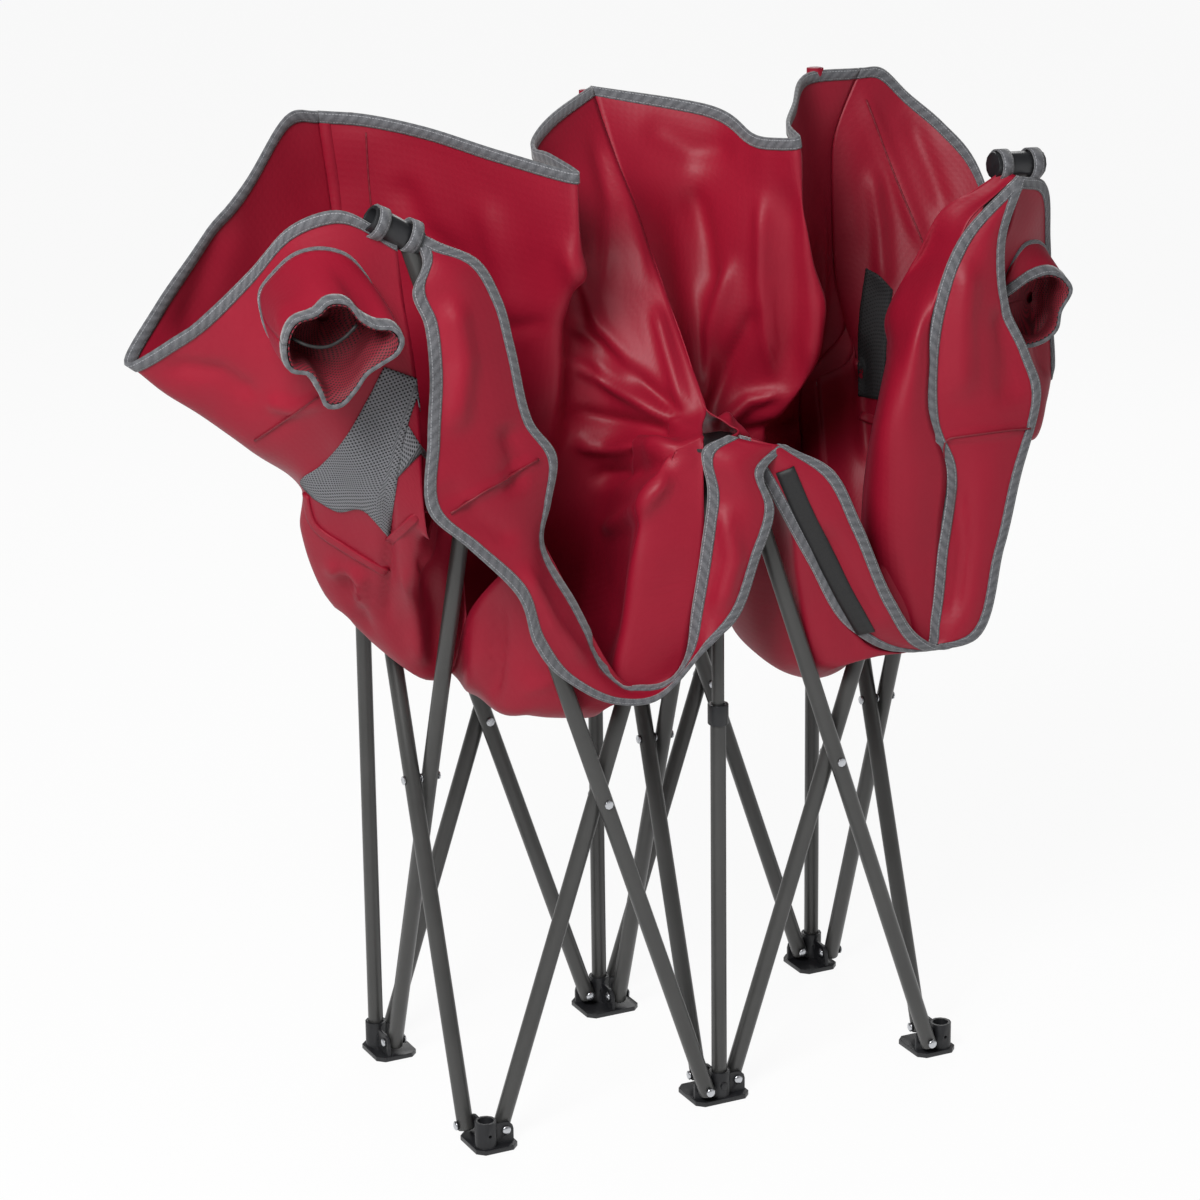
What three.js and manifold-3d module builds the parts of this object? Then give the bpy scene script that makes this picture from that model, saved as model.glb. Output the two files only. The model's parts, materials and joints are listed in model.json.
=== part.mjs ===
// Folding camping loveseat, half folded: six feet and six hubs joined by seven scissor crossings of
// steel tube, three back posts, a telescoping front support, and the cloth that hangs between them.
// Millimetres, +Z up, +X to the sitter's left as seen from the front, -Y to the front.
// The origin is on the floor, under the front centre post.

import * as THREE from 'three';
import { mergeVertices } from 'three/addons/utils/BufferGeometryUtils.js';
import Module from 'manifold-3d';

const wasm = await Module();
wasm.setup();

// Frame sizes
const foldAngle = THREE.MathUtils.degToRad(71.5); // tube slope above the floor as the chair stands here
const openAngle = THREE.MathUtils.degToRad(37); // a little past the slope of the opened chair
const closedAngle = THREE.MathUtils.degToRad(88); // a little past the slope of the closed chair
const legLength = 665; // between the end pivots of a leg tube
const armReach = 252; // arm post above its hub pivot
const tubeDiameter = 16;
const tubeWall = 1.2;
const tubeEnd = 6; // tube past its end pivot
const postDiameter = 15;
const postWall = 1.2;
const postTop = 948; // height of the back posts
const supportBore = 13.4; // inside of the front centre lower tube
const supportTop = 402;
const slideDiameter = 12;
const slideWall = 1;
const slideFoot = 250; // lower end of the sliding tube
const collarDiameter = 20;
const collarHeight = 20;
const planeOffset = 9; // leg tube axis from the post line
const cornerOffset = 20; // corner socket to its sideways pivot
const centreOffset = 19; // centre socket to its sideways pivots
const depthOffset = 27.5; // any socket to its front-to-back pivot
const pivotHeight = 17;
const clearance = 0.3; // running gap between pieces
const overrun = 2; // how far a cutter passes the face it cuts

// Moulding sizes
const socketWall = 2.8;
const socketHeight = 30;
const plateThickness = 4.5;
const plateMargin = 13; // plate past the socket axis, on the outer sides
const plateReach = 10; // plate past the pivots, on the inner sides
const plateChamfer = 7;
const earThickness = 3;
const earRadius = 8;
const hubDrop = 12; // hub body below the pivots
const hubRise = 10.8; // hub body above the pivots, to the underside of its cap
const hubCapThickness = 3;
const rivetDiameter = 5;
const rivetHeadDiameter = 9;
const rivetHeadHeight = 1.6;
const screwHeadDiameter = 8;
const screwHole = 3.6;

// Arm cap sizes
const capDiameter = 25;
const capLength = 52;
const capRingWall = 3;
const capRingDepth = 15;
const capSlot = 7;
const capLeftTilt = THREE.MathUtils.degToRad(32);
const capRightTilt = THREE.MathUtils.degToRad(-3);
const capSeat = 9; // cap end past the arm post axis

// Cloth sizes
const clothReach = 1000; // the cloth nets below are shares of this length
const clothThickness = 2;
const meshGap = 0.6; // mesh window clear of the panel behind it
const pocketGap = 1.4; // pocket clear of the panel behind it
const cupBaseRadius = 54;
const cupMouthRadius = 46;
const cupInside = 22; // cup behind the panel it is sewn into
const cupOutside = 55; // cup in front of that panel
const cupWall = 2;

// Sides of the round shapes
const tubeSides = 12;
const fineSides = 12;
const smallSides = 8;
const pinSides = 6;

// Places that follow from the sizes
const legRun = legLength * Math.cos(foldAngle);
const legRise = legLength * Math.sin(foldAngle);
const bay = legRun + cornerOffset + centreOffset;
const halfDepth = legRun / 2 + depthOffset;
const hubHeight = pivotHeight + legRise;
const tubeRadius = tubeDiameter / 2;
const postRadius = postDiameter / 2;
const socketRadius = postRadius + clearance + socketWall;
const sweepRadius = Math.hypot(tubeEnd, tubeRadius) + clearance + 0.1 * clearance;
const pinHole = (rivetDiameter / 2 + clearance) / Math.cos(Math.PI / pinSides);
const legSlope = new THREE.Vector2(Math.cos(foldAngle), Math.sin(foldAngle));

// Materials
const paint = (color, roughness, metalness) => new THREE.MeshStandardMaterial({ color, roughness, metalness });
const steelPaint = paint(0x4a4a48, 0.42, 0.3);
const blackPlastic = paint(0x1f2022, 0.5, 0);
const zinc = paint(0xc9ccd0, 0.3, 0.9);
const redCloth = paint(0xb2203a, 0.8, 0);
const greyMesh = paint(0x606266, 0.85, 0);
const blackWeb = paint(0x161617, 0.9, 0);

const loveseat = new THREE.Group();

function addPart(name, geometry, material) {
  geometry.computeVertexNormals();
  const mesh = new THREE.Mesh(geometry, material);
  mesh.name = name;
  mesh.position.y = halfDepth; // the pieces are drawn about the middle of the six feet
  loveseat.add(mesh);
  return mesh;
}

// Solids: three.js shapes turned into cuttable solids and back
function solidOf(geometry) {
  const bare = geometry.clone();
  bare.deleteAttribute('normal');
  bare.deleteAttribute('uv');
  const merged = mergeVertices(bare, 1e-4);
  return new wasm.Manifold(new wasm.Mesh({
    numProp: 3,
    vertProperties: new Float32Array(merged.attributes.position.array),
    triVerts: new Uint32Array(merged.index.array),
  }));
}

function geometryOf(solid) {
  const { vertProperties, triVerts } = solid.getMesh();
  const geometry = new THREE.BufferGeometry();
  geometry.setAttribute('position', new THREE.BufferAttribute(new Float32Array(vertProperties), 3));
  geometry.setIndex(new THREE.BufferAttribute(new Uint32Array(triVerts), 1));
  return geometry;
}

function rod(radius, from, to, sides = tubeSides) {
  const axis = to.clone().sub(from);
  const geometry = new THREE.CylinderGeometry(radius, radius, axis.length(), sides);
  geometry.applyQuaternion(new THREE.Quaternion().setFromUnitVectors(
    new THREE.Vector3(0, 1, 0), axis.clone().normalize()));
  const middle = from.clone().add(to).multiplyScalar(0.5);
  geometry.translate(middle.x, middle.y, middle.z);
  return solidOf(geometry);
}

function block(x0, x1, y0, y1, z0, z1) {
  const geometry = new THREE.BoxGeometry(Math.abs(x1 - x0), Math.abs(y1 - y0), Math.abs(z1 - z0));
  geometry.translate((x0 + x1) / 2, (y0 + y1) / 2, (z0 + z1) / 2);
  return solidOf(geometry);
}

const v3 = (x, y, z) => new THREE.Vector3(x, y, z);

// The six places of the frame grid. right and back are -1, 0 or 1.
const grid = {
  rear_left: { right: -1, back: 1 },
  front_left: { right: -1, back: -1 },
  rear_centre: { right: 0, back: 1 },
  front_centre: { right: 0, back: -1 },
  rear_right: { right: 1, back: 1 },
  front_right: { right: 1, back: -1 },
};
const offsetOf = (place) => (grid[place].right === 0 ? centreOffset : cornerOffset);
const centreOf = (place) => v3(grid[place].right * bay, grid[place].back * halfDepth, 0);

// Leg tubes, each from a foot to a hub. across is true in the rows and false front to back.
// lean is the way the tube leans from its foot, and plane the side of the post line that it runs on.
const legs = [];
for (const row of ['front', 'rear']) {
  for (const [left, right] of [['left', 'centre'], ['centre', 'right']]) {
    legs.push({ foot: `${row}_${right}`, hub: `${row}_${left}`, across: true, lean: -1, plane: -1 });
    legs.push({ foot: `${row}_${left}`, hub: `${row}_${right}`, across: true, lean: 1, plane: 1 });
  }
}
for (const column of ['left', 'centre', 'right']) {
  legs.push({ foot: `front_${column}`, hub: `rear_${column}`, across: false, lean: 1, plane: -1 });
  legs.push({ foot: `rear_${column}`, hub: `front_${column}`, across: false, lean: -1, plane: 1 });
}

// A tube's pivot at one of its ends, from the post axis there. side is the way to the tube's other end.
function pivotOffset(leg, place, side) {
  return leg.across
    ? v3(side * offsetOf(place), leg.plane * planeOffset, 0)
    : v3(leg.plane * planeOffset, side * depthOffset, 0);
}

const pinAxis = (leg) => (leg.across ? v3(0, 1, 0) : v3(1, 0, 0));
const isArm = (leg) => leg.across && leg.foot === 'front_centre';

function legTube(leg) {
  const foot = centreOf(leg.foot).add(pivotOffset(leg, leg.foot, leg.lean)).setZ(pivotHeight);
  const run = leg.lean * legSlope.x;
  const slope = leg.across ? v3(run, 0, legSlope.y) : v3(0, run, legSlope.y);
  const along = (distance) => foot.clone().addScaledVector(slope, distance);
  const top = isArm(leg) ? legLength + armReach : legLength + tubeEnd;
  let tube = rod(tubeRadius, along(-tubeEnd), along(top));
  tube = tube.subtract(rod(tubeRadius - tubeWall, along(-tubeEnd - overrun), along(top + overrun), pinSides));
  const pin = pinAxis(leg).multiplyScalar(tubeDiameter);
  for (const distance of [0, legLength / 2, legLength]) {
    const hole = along(distance);
    tube = tube.subtract(rod(pinHole, hole.clone().sub(pin), hole.clone().add(pin), pinSides));
  }
  return tube;
}

const legName = (leg) => `leg_${leg.foot}_to_${leg.hub}`;
for (const leg of legs) {
  addPart(legName(leg), geometryOf(legTube(leg)), steelPaint);
}

// Crossing rivets: one through each pair of tubes, with a spacer collar between them
function crossingRivet(across, x, y) {
  const inner = planeOffset - tubeRadius - clearance;
  const outer = planeOffset + tubeRadius + clearance;
  const head = rivetHeadDiameter / 2;
  const shank = rivetDiameter / 2;
  const profile = [
    [0, -outer - rivetHeadHeight], [head, -outer - rivetHeadHeight], [head, -outer], [shank, -outer],
    [shank, -inner], [head, -inner], [head, inner], [shank, inner],
    [shank, outer], [head, outer], [head, outer + rivetHeadHeight], [0, outer + rivetHeadHeight],
  ];
  const geometry = new THREE.LatheGeometry(profile.map(([r, h]) => new THREE.Vector2(r, h)), smallSides);
  if (!across) geometry.rotateZ(Math.PI / 2);
  geometry.translate(x, y, pivotHeight + legRise / 2);
  return geometryOf(solidOf(geometry));
}

const crossingX = centreOffset + legRun / 2;
for (const row of ['front', 'rear']) {
  const y = grid[`${row}_centre`].back * halfDepth;
  addPart(`rivet_${row}_left`, crossingRivet(true, -crossingX, y), zinc);
  addPart(`rivet_${row}_right`, crossingRivet(true, crossingX, y), zinc);
}
for (const column of ['left', 'centre', 'right']) {
  addPart(`rivet_side_${column}`, crossingRivet(false, grid[`front_${column}`].right * bay, 0), zinc);
}

// Feet and hubs share their ears, pins and tube clearances. They are drawn with the post axis at
// x = y = 0 and the pivots at z = 0. up is 1 on a foot, whose tubes rise, and -1 on a hub.
function earOf(leg, place, side, up, base) {
  const pivot = pivotOffset(leg, place, side);
  const inner = planeOffset - tubeRadius - clearance;
  const faces = [leg.plane * inner, leg.plane * (inner - earThickness)];
  const reach = leg.across ? pivot.x : pivot.y;
  const top = up * earRadius;
  const ear = leg.across
    ? block(0, reach, faces[0], faces[1], base, top).add(
      rod(earRadius, v3(reach, faces[0], 0), v3(reach, faces[1], 0)))
    : block(faces[0], faces[1], 0, reach, base, top).add(
      rod(earRadius, v3(faces[0], reach, 0), v3(faces[1], reach, 0)));
  const foot = leg.across
    ? block(reach - earRadius, reach + earRadius, faces[0], faces[1], base, 0)
    : block(faces[0], faces[1], reach - earRadius, reach + earRadius, base, 0);
  return ear.add(foot);
}

// A flat outline, given as (along the row or column, up) points, made as deep as the space from low to
// high on the pin's axis
function prism(points, across, low, high) {
  const shape = new THREE.Shape(points.map(([along, up]) => new THREE.Vector2(along, up)));
  const geometry = new THREE.ExtrudeGeometry(shape, { depth: high - low, bevelEnabled: false });
  geometry.rotateX(Math.PI / 2);
  if (across) geometry.translate(0, high, 0);
  else geometry.rotateZ(Math.PI / 2).translate(low, 0, 0);
  return solidOf(geometry);
}

// The space that a tube passes through about its pivot, from open to closed
function wedge(leg, reach, side, up, near, far) {
  const half = tubeRadius + clearance;
  const length = 4 * tubeDiameter;
  const edge = (angle, turn) => [
    reach + side * turn * half * Math.sin(angle), -up * turn * half * Math.cos(angle)];
  const out = ([along, height], angle) => [
    along + side * length * Math.cos(angle), height + up * length * Math.sin(angle)];
  const low = edge(openAngle, 1);
  const high = edge(closedAngle, -1);
  const points = [[reach, 0], low, out(low, openAngle), out(high, closedAngle), high];
  return prism(points, leg.across, Math.min(near, far), Math.max(near, far));
}

function sweepOf(leg, place, side, up) {
  const pivot = pivotOffset(leg, place, side);
  const half = tubeRadius + clearance;
  const near = leg.plane * (planeOffset - half);
  const far = leg.plane * (planeOffset + half);
  const reach = leg.across ? pivot.x : pivot.y;
  const through = isArm(leg) && place === leg.hub;
  const radius = through ? half : sweepRadius;
  const disc = leg.across
    ? rod(radius, v3(reach, near, 0), v3(reach, far, 0), fineSides)
    : rod(radius, v3(near, reach, 0), v3(far, reach, 0), fineSides);
  const space = disc.add(wedge(leg, reach, side, up, near, far));
  return through ? space.add(wedge(leg, reach, -side, -up, near, far)) : space;
}

function pinOf(leg, place, side) {
  const pivot = pivotOffset(leg, place, side);
  const inner = planeOffset - tubeRadius - clearance - earThickness;
  const outer = planeOffset + tubeRadius + clearance;
  const at = (depth) => (leg.across ? v3(pivot.x, leg.plane * depth, 0) : v3(leg.plane * depth, pivot.y, 0));
  const radius = rivetHeadDiameter / 2;
  return rod(rivetDiameter / 2, at(inner - rivetHeadHeight), at(outer + rivetHeadHeight), pinSides)
    .add(rod(radius, at(inner - rivetHeadHeight), at(inner), smallSides))
    .add(rod(radius, at(outer), at(outer + rivetHeadHeight), smallSides));
}

function plateOf(place, low, high) {
  const { right, back } = grid[place];
  const reach = offsetOf(place) + plateReach;
  const x0 = right === 1 || right === 0 ? -reach : -plateMargin;
  const x1 = right === -1 || right === 0 ? reach : plateMargin;
  const y0 = back === 1 ? -depthOffset - plateReach : -plateMargin;
  const y1 = back === -1 ? depthOffset + plateReach : plateMargin;
  const outline = new THREE.Shape([
    new THREE.Vector2(x0 + plateChamfer, y0), new THREE.Vector2(x1 - plateChamfer, y0),
    new THREE.Vector2(x1, y0 + plateChamfer), new THREE.Vector2(x1, y1 - plateChamfer),
    new THREE.Vector2(x1 - plateChamfer, y1), new THREE.Vector2(x0 + plateChamfer, y1),
    new THREE.Vector2(x0, y1 - plateChamfer), new THREE.Vector2(x0, y0 + plateChamfer),
  ]);
  const geometry = new THREE.ExtrudeGeometry(outline, { depth: high - low, bevelEnabled: false });
  geometry.translate(0, 0, low);
  return solidOf(geometry);
}

const joinsAtFoot = (place) => legs.filter((leg) => leg.foot === place).map((leg) => [leg, leg.lean]);
const joinsAtHub = (place) => legs.filter((leg) => leg.hub === place).map((leg) => [leg, -leg.lean]);

function foot(place) {
  const floor = -pivotHeight;
  const rim = socketHeight - pivotHeight;
  let body = plateOf(place, floor, floor + plateThickness);
  body = body.add(rod(socketRadius, v3(0, 0, floor), v3(0, 0, rim), fineSides));
  for (const [leg, side] of joinsAtFoot(place)) body = body.add(earOf(leg, place, side, 1, floor));
  for (const [leg, side] of joinsAtFoot(place)) body = body.subtract(sweepOf(leg, place, side, 1));
  const bore = postRadius + clearance;
  body = body.subtract(rod(bore, v3(0, 0, floor + plateThickness + clearance), v3(0, 0, rim + overrun), fineSides));
  const face = v3(0, -socketRadius + overrun, 0);
  if (grid[place].right !== 0 && grid[place].back === -1) {
    body = body.subtract(rod(screwHole / 2, v3(0, -socketRadius - overrun, 0), v3(0, 0, 0), pinSides));
  } else {
    const head = v3(0, -socketRadius - rivetHeadHeight, 0);
    body = body.add(rod(screwHeadDiameter / 2, head, face, smallSides));
  }
  for (const [leg, side] of joinsAtFoot(place)) body = body.add(pinOf(leg, place, side));
  return body.translate([grid[place].right * bay, grid[place].back * halfDepth, pivotHeight]);
}

function hub(place) {
  const { right, back } = grid[place];
  const top = hubRise + hubCapThickness;
  const under = hubRise + hubCapThickness / 2; // ears and bridge end inside the cap
  const front = back === -1;
  let body = plateOf(place, hubRise, top);
  body = body.add(rod(socketRadius, v3(0, 0, -hubDrop), v3(0, 0, top), fineSides));
  for (const [leg, side] of joinsAtHub(place)) body = body.add(earOf(leg, place, side, -1, under));
  if (front && right === 1) {
    body = body.add(block(0, plateMargin - plateChamfer, 0, depthOffset + earRadius, -hubDrop, under));
  }
  for (const [leg, side] of joinsAtHub(place)) {
    body = body.subtract(sweepOf(leg, place, side, -1));
  }
  if (!front) {
    const bore = postRadius + clearance;
    body = body.subtract(rod(bore, v3(0, 0, -hubDrop - overrun), v3(0, 0, top + overrun), fineSides));
  } else if (right === 0) {
    const bore = slideDiameter / 2 + clearance;
    body = body.subtract(rod(bore, v3(0, 0, -hubDrop - overrun), v3(0, 0, hubRise - clearance), fineSides));
  }
  for (const [leg, side] of joinsAtHub(place)) body = body.add(pinOf(leg, place, side));
  return body.translate([right * bay, back * halfDepth, hubHeight]);
}

for (const place of Object.keys(grid)) {
  addPart(`foot_${place}`, geometryOf(foot(place)), blackPlastic);
  addPart(`hub_${place}`, geometryOf(hub(place)), blackPlastic);
}

// Back posts, each standing in a rear foot
const socketFloor = plateThickness + 2 * clearance;
function pipe(radius, wall, x, y, low, high, sides = fineSides) {
  return rod(radius, v3(x, y, low), v3(x, y, high), sides)
    .subtract(rod(radius - wall, v3(x, y, low - overrun), v3(x, y, high + overrun), sides));
}
for (const column of ['left', 'centre', 'right']) {
  const x = grid[`rear_${column}`].right * bay;
  addPart(`back_post_${column}`,
    geometryOf(pipe(postRadius, postWall, x, halfDepth, socketFloor, postTop)), steelPaint);
}

// Front centre support: lower tube in its foot, collar on its top, and the tube that slides in it
const supportRadius = postRadius;
const supportWall = supportRadius - supportBore / 2;
addPart('support_tube',
  geometryOf(pipe(supportRadius, supportWall, 0, -halfDepth, socketFloor, supportTop)), steelPaint);

function supportCollar() {
  const radius = collarDiameter / 2;
  const low = supportTop - collarHeight + collarHeight / 4;
  const high = low + collarHeight;
  return rod(radius, v3(0, -halfDepth, low), v3(0, -halfDepth, high), fineSides)
    .subtract(rod(supportRadius + clearance, v3(0, -halfDepth, low - overrun),
      v3(0, -halfDepth, supportTop + clearance), fineSides))
    .subtract(rod(slideDiameter / 2 + clearance, v3(0, -halfDepth, low), v3(0, -halfDepth, high + overrun), fineSides));
}
addPart('support_collar', geometryOf(supportCollar()), blackPlastic);
addPart('support_slide', geometryOf(pipe(slideDiameter / 2, slideWall, 0, -halfDepth, slideFoot,
  hubHeight + hubRise - 2 * clearance)), steelPaint);

// Arm caps: a barrel across the top of each arm post, with a slotted ring at its outer end
function armCap(side, tilt) {
  const leg = legs.find((each) => isArm(each) && each.lean === side);
  const pivot = centreOf(leg.foot).add(pivotOffset(leg, leg.foot, leg.lean)).setZ(pivotHeight);
  const slope = v3(leg.lean * legSlope.x, 0, legSlope.y);
  const tip = pivot.clone().addScaledVector(slope, legLength + armReach);
  const axis = v3(side * Math.cos(tilt), 0, Math.sin(tilt));
  const radius = capDiameter / 2;
  const centre = tip.clone().addScaledVector(slope, radius / 3);
  const inner = centre.clone().addScaledVector(axis, -capSeat - tubeRadius / 2);
  const outer = inner.clone().addScaledVector(axis, capLength);
  let cap = rod(radius, inner, outer, fineSides);
  const hollow = outer.clone().addScaledVector(axis, -capRingDepth);
  const past = outer.clone().addScaledVector(axis, overrun);
  cap = cap.subtract(rod(radius - capRingWall, hollow, past));
  const middle = outer.clone().addScaledVector(axis, -capRingDepth / 2);
  const cut = block(-capRingDepth / 2 - overrun, capRingDepth / 2 + overrun, -capSlot / 2, capSlot / 2, 0, radius + overrun)
    .rotate([0, -side * THREE.MathUtils.radToDeg(tilt), 0])
    .translate([middle.x, middle.y, middle.z]);
  cap = cap.subtract(cut);
  const below = tip.clone().addScaledVector(slope, -2 * tubeDiameter);
  const seat = tip.clone().addScaledVector(slope, clearance);
  return cap.subtract(rod(tubeRadius + clearance, below, seat));
}
addPart('arm_cap_left', geometryOf(armCap(-1, capLeftTilt)), blackPlastic);
addPart('arm_cap_right', geometryOf(armCap(1, capRightTilt)), blackPlastic);

// Cloth: each panel is a smooth sheet through a net of points. A net's rows run from its top edge down
// (the seat's from front to rear), and its points are shares of clothReach.
const backLeftShares = [
  [[-0.264, 0.1242, 0.952], [-0.24, 0.062, 0.955], [-0.18, -0.01, 0.938], [-0.111, -0.08, 0.905],
    [-0.072, 0.008, 0.922], [-0.04, 0.08, 0.938], [-0.002, 0.1242, 0.946]],
  [[-0.264, 0.1242, 0.88], [-0.238, 0.062, 0.88], [-0.178, -0.012, 0.87], [-0.112, -0.084, 0.845],
    [-0.074, 0.008, 0.862], [-0.042, 0.08, 0.872], [-0.002, 0.1242, 0.876]],
  [[-0.264, 0.1242, 0.79], [-0.235, 0.066, 0.79], [-0.175, -0.005, 0.785], [-0.115, -0.068, 0.775],
    [-0.078, 0.015, 0.783], [-0.045, 0.082, 0.788], [-0.003, 0.1242, 0.79]],
  [[-0.258, 0.114, 0.7], [-0.228, 0.074, 0.7], [-0.172, 0.015, 0.7], [-0.12, -0.035, 0.7],
    [-0.082, 0.028, 0.7], [-0.05, 0.082, 0.7], [-0.006, 0.114, 0.7]],
  [[-0.212, 0.09, 0.645], [-0.19, 0.07, 0.64], [-0.158, 0.035, 0.638], [-0.1242, 0.005, 0.635],
    [-0.09, 0.038, 0.638], [-0.062, 0.07, 0.64], [-0.036, 0.09, 0.645]],
  [[-0.216, 0.1, 0.58], [-0.188, 0.082, 0.575], [-0.156, 0.062, 0.57], [-0.124, 0.05, 0.568],
    [-0.092, 0.062, 0.57], [-0.06, 0.082, 0.575], [-0.034, 0.1, 0.58]],
  [[-0.218, 0.106, 0.528], [-0.188, 0.105, 0.498], [-0.156, 0.104, 0.478], [-0.124, 0.104, 0.468],
    [-0.092, 0.104, 0.478], [-0.06, 0.105, 0.498], [-0.03, 0.106, 0.528]],
];
const backRightShares = [
  [[0.002, 0.1242, 0.95], [0.055, 0.098, 0.946], [0.095, 0.03, 0.938], [0.108, -0.062, 0.922],
    [0.15, 0.02, 0.93], [0.205, 0.095, 0.94], [0.264, 0.1242, 0.947]],
  [[0.002, 0.1242, 0.88], [0.055, 0.098, 0.878], [0.095, 0.03, 0.872], [0.11, -0.06, 0.86],
    [0.15, 0.02, 0.868], [0.205, 0.095, 0.876], [0.264, 0.1242, 0.88]],
  [[0.003, 0.1242, 0.79], [0.055, 0.096, 0.79], [0.096, 0.035, 0.788], [0.112, -0.045, 0.782],
    [0.152, 0.025, 0.788], [0.205, 0.092, 0.79], [0.264, 0.1242, 0.79]],
  [[0.006, 0.114, 0.7], [0.055, 0.09, 0.7], [0.098, 0.045, 0.7], [0.1242, -0.015, 0.7],
    [0.158, 0.035, 0.7], [0.208, 0.085, 0.7], [0.258, 0.114, 0.7]],
  [[0.036, 0.09, 0.645], [0.062, 0.07, 0.64], [0.09, 0.038, 0.638], [0.124, 0.012, 0.635],
    [0.158, 0.035, 0.638], [0.19, 0.07, 0.64], [0.212, 0.09, 0.645]],
  [[0.034, 0.1, 0.58], [0.06, 0.082, 0.575], [0.092, 0.062, 0.57], [0.124, 0.05, 0.568],
    [0.156, 0.062, 0.57], [0.188, 0.082, 0.575], [0.216, 0.1, 0.58]],
  [[0.03, 0.106, 0.528], [0.06, 0.105, 0.498], [0.092, 0.104, 0.478], [0.124, 0.104, 0.468],
    [0.156, 0.104, 0.478], [0.188, 0.105, 0.498], [0.218, 0.106, 0.528]],
];
const sideLeftShares = [
  [[-0.2586, 0.13, 0.947], [-0.318, 0.12, 0.948], [-0.395, 0.095, 0.89], [-0.47, 0.045, 0.835],
    [-0.524, -0.01, 0.768], [-0.462, -0.085, 0.842], [-0.388, -0.128, 0.9], [-0.328, -0.158, 0.866]],
  [[-0.2586, 0.13, 0.85], [-0.312, 0.118, 0.84], [-0.375, 0.095, 0.795], [-0.435, 0.045, 0.755],
    [-0.478, -0.02, 0.728], [-0.44, -0.085, 0.765], [-0.385, -0.125, 0.805], [-0.318, -0.158, 0.79]],
  [[-0.2586, 0.13, 0.76], [-0.3, 0.11, 0.745], [-0.345, 0.085, 0.705], [-0.395, 0.04, 0.675],
    [-0.44, -0.04, 0.7], [-0.42, -0.095, 0.705], [-0.372, -0.135, 0.715], [-0.312, -0.159, 0.715]],
  [[-0.271, 0.112, 0.69], [-0.285, 0.098, 0.665], [-0.315, 0.07, 0.625], [-0.35, 0.03, 0.61],
    [-0.385, -0.03, 0.64], [-0.38, -0.085, 0.64], [-0.35, -0.13, 0.64], [-0.305, -0.159, 0.65]],
  [[-0.274, 0.092, 0.672], [-0.28, 0.076, 0.615], [-0.3, 0.05, 0.545], [-0.322, 0.02, 0.51],
    [-0.335, -0.005, 0.52], [-0.318, -0.045, 0.55], [-0.292, -0.078, 0.61], [-0.276, -0.092, 0.674]],
  [[-0.249, 0.082, 0.655], [-0.249, 0.066, 0.575], [-0.249, 0.044, 0.505], [-0.249, 0.018, 0.445],
    [-0.249, -0.01, 0.437], [-0.249, -0.038, 0.49], [-0.249, -0.062, 0.56], [-0.249, -0.082, 0.655]],
  [[-0.225, 0.082, 0.648], [-0.225, 0.066, 0.57], [-0.225, 0.044, 0.498], [-0.225, 0.018, 0.437],
    [-0.225, -0.01, 0.43], [-0.225, -0.038, 0.483], [-0.225, -0.062, 0.553], [-0.225, -0.082, 0.648]],
];
const sideRightShares = [
  [[0.2586, 0.13, 0.945], [0.325, 0.112, 0.935], [0.372, 0.062, 0.885], [0.392, 0.015, 0.848],
    [0.408, -0.045, 0.858], [0.4, -0.09, 0.868], [0.375, -0.125, 0.878], [0.328, -0.15, 0.862]],
  [[0.2586, 0.13, 0.85], [0.315, 0.11, 0.835], [0.36, 0.06, 0.79], [0.395, 0.01, 0.77],
    [0.42, -0.05, 0.775], [0.405, -0.095, 0.785], [0.375, -0.13, 0.795], [0.32, -0.15, 0.79]],
  [[0.2586, 0.13, 0.76], [0.3, 0.105, 0.745], [0.345, 0.06, 0.7], [0.385, 0.01, 0.69],
    [0.418, -0.05, 0.7], [0.405, -0.095, 0.705], [0.37, -0.135, 0.715], [0.312, -0.151, 0.715]],
  [[0.271, 0.112, 0.69], [0.285, 0.095, 0.66], [0.315, 0.06, 0.62], [0.35, 0.015, 0.61],
    [0.375, -0.04, 0.64], [0.37, -0.09, 0.645], [0.345, -0.13, 0.65], [0.303, -0.151, 0.65]],
  [[0.274, 0.092, 0.672], [0.28, 0.076, 0.615], [0.3, 0.05, 0.545], [0.318, 0.02, 0.505],
    [0.325, -0.01, 0.51], [0.315, -0.045, 0.545], [0.292, -0.078, 0.61], [0.276, -0.092, 0.674]],
  [[0.249, 0.082, 0.655], [0.249, 0.066, 0.575], [0.249, 0.044, 0.505], [0.249, 0.018, 0.445],
    [0.249, -0.01, 0.437], [0.249, -0.038, 0.49], [0.249, -0.062, 0.56], [0.249, -0.082, 0.655]],
  [[0.225, 0.082, 0.648], [0.225, 0.066, 0.57], [0.225, 0.044, 0.498], [0.225, 0.018, 0.437],
    [0.225, -0.01, 0.43], [0.225, -0.038, 0.483], [0.225, -0.062, 0.553], [0.225, -0.082, 0.648]],
];
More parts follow.
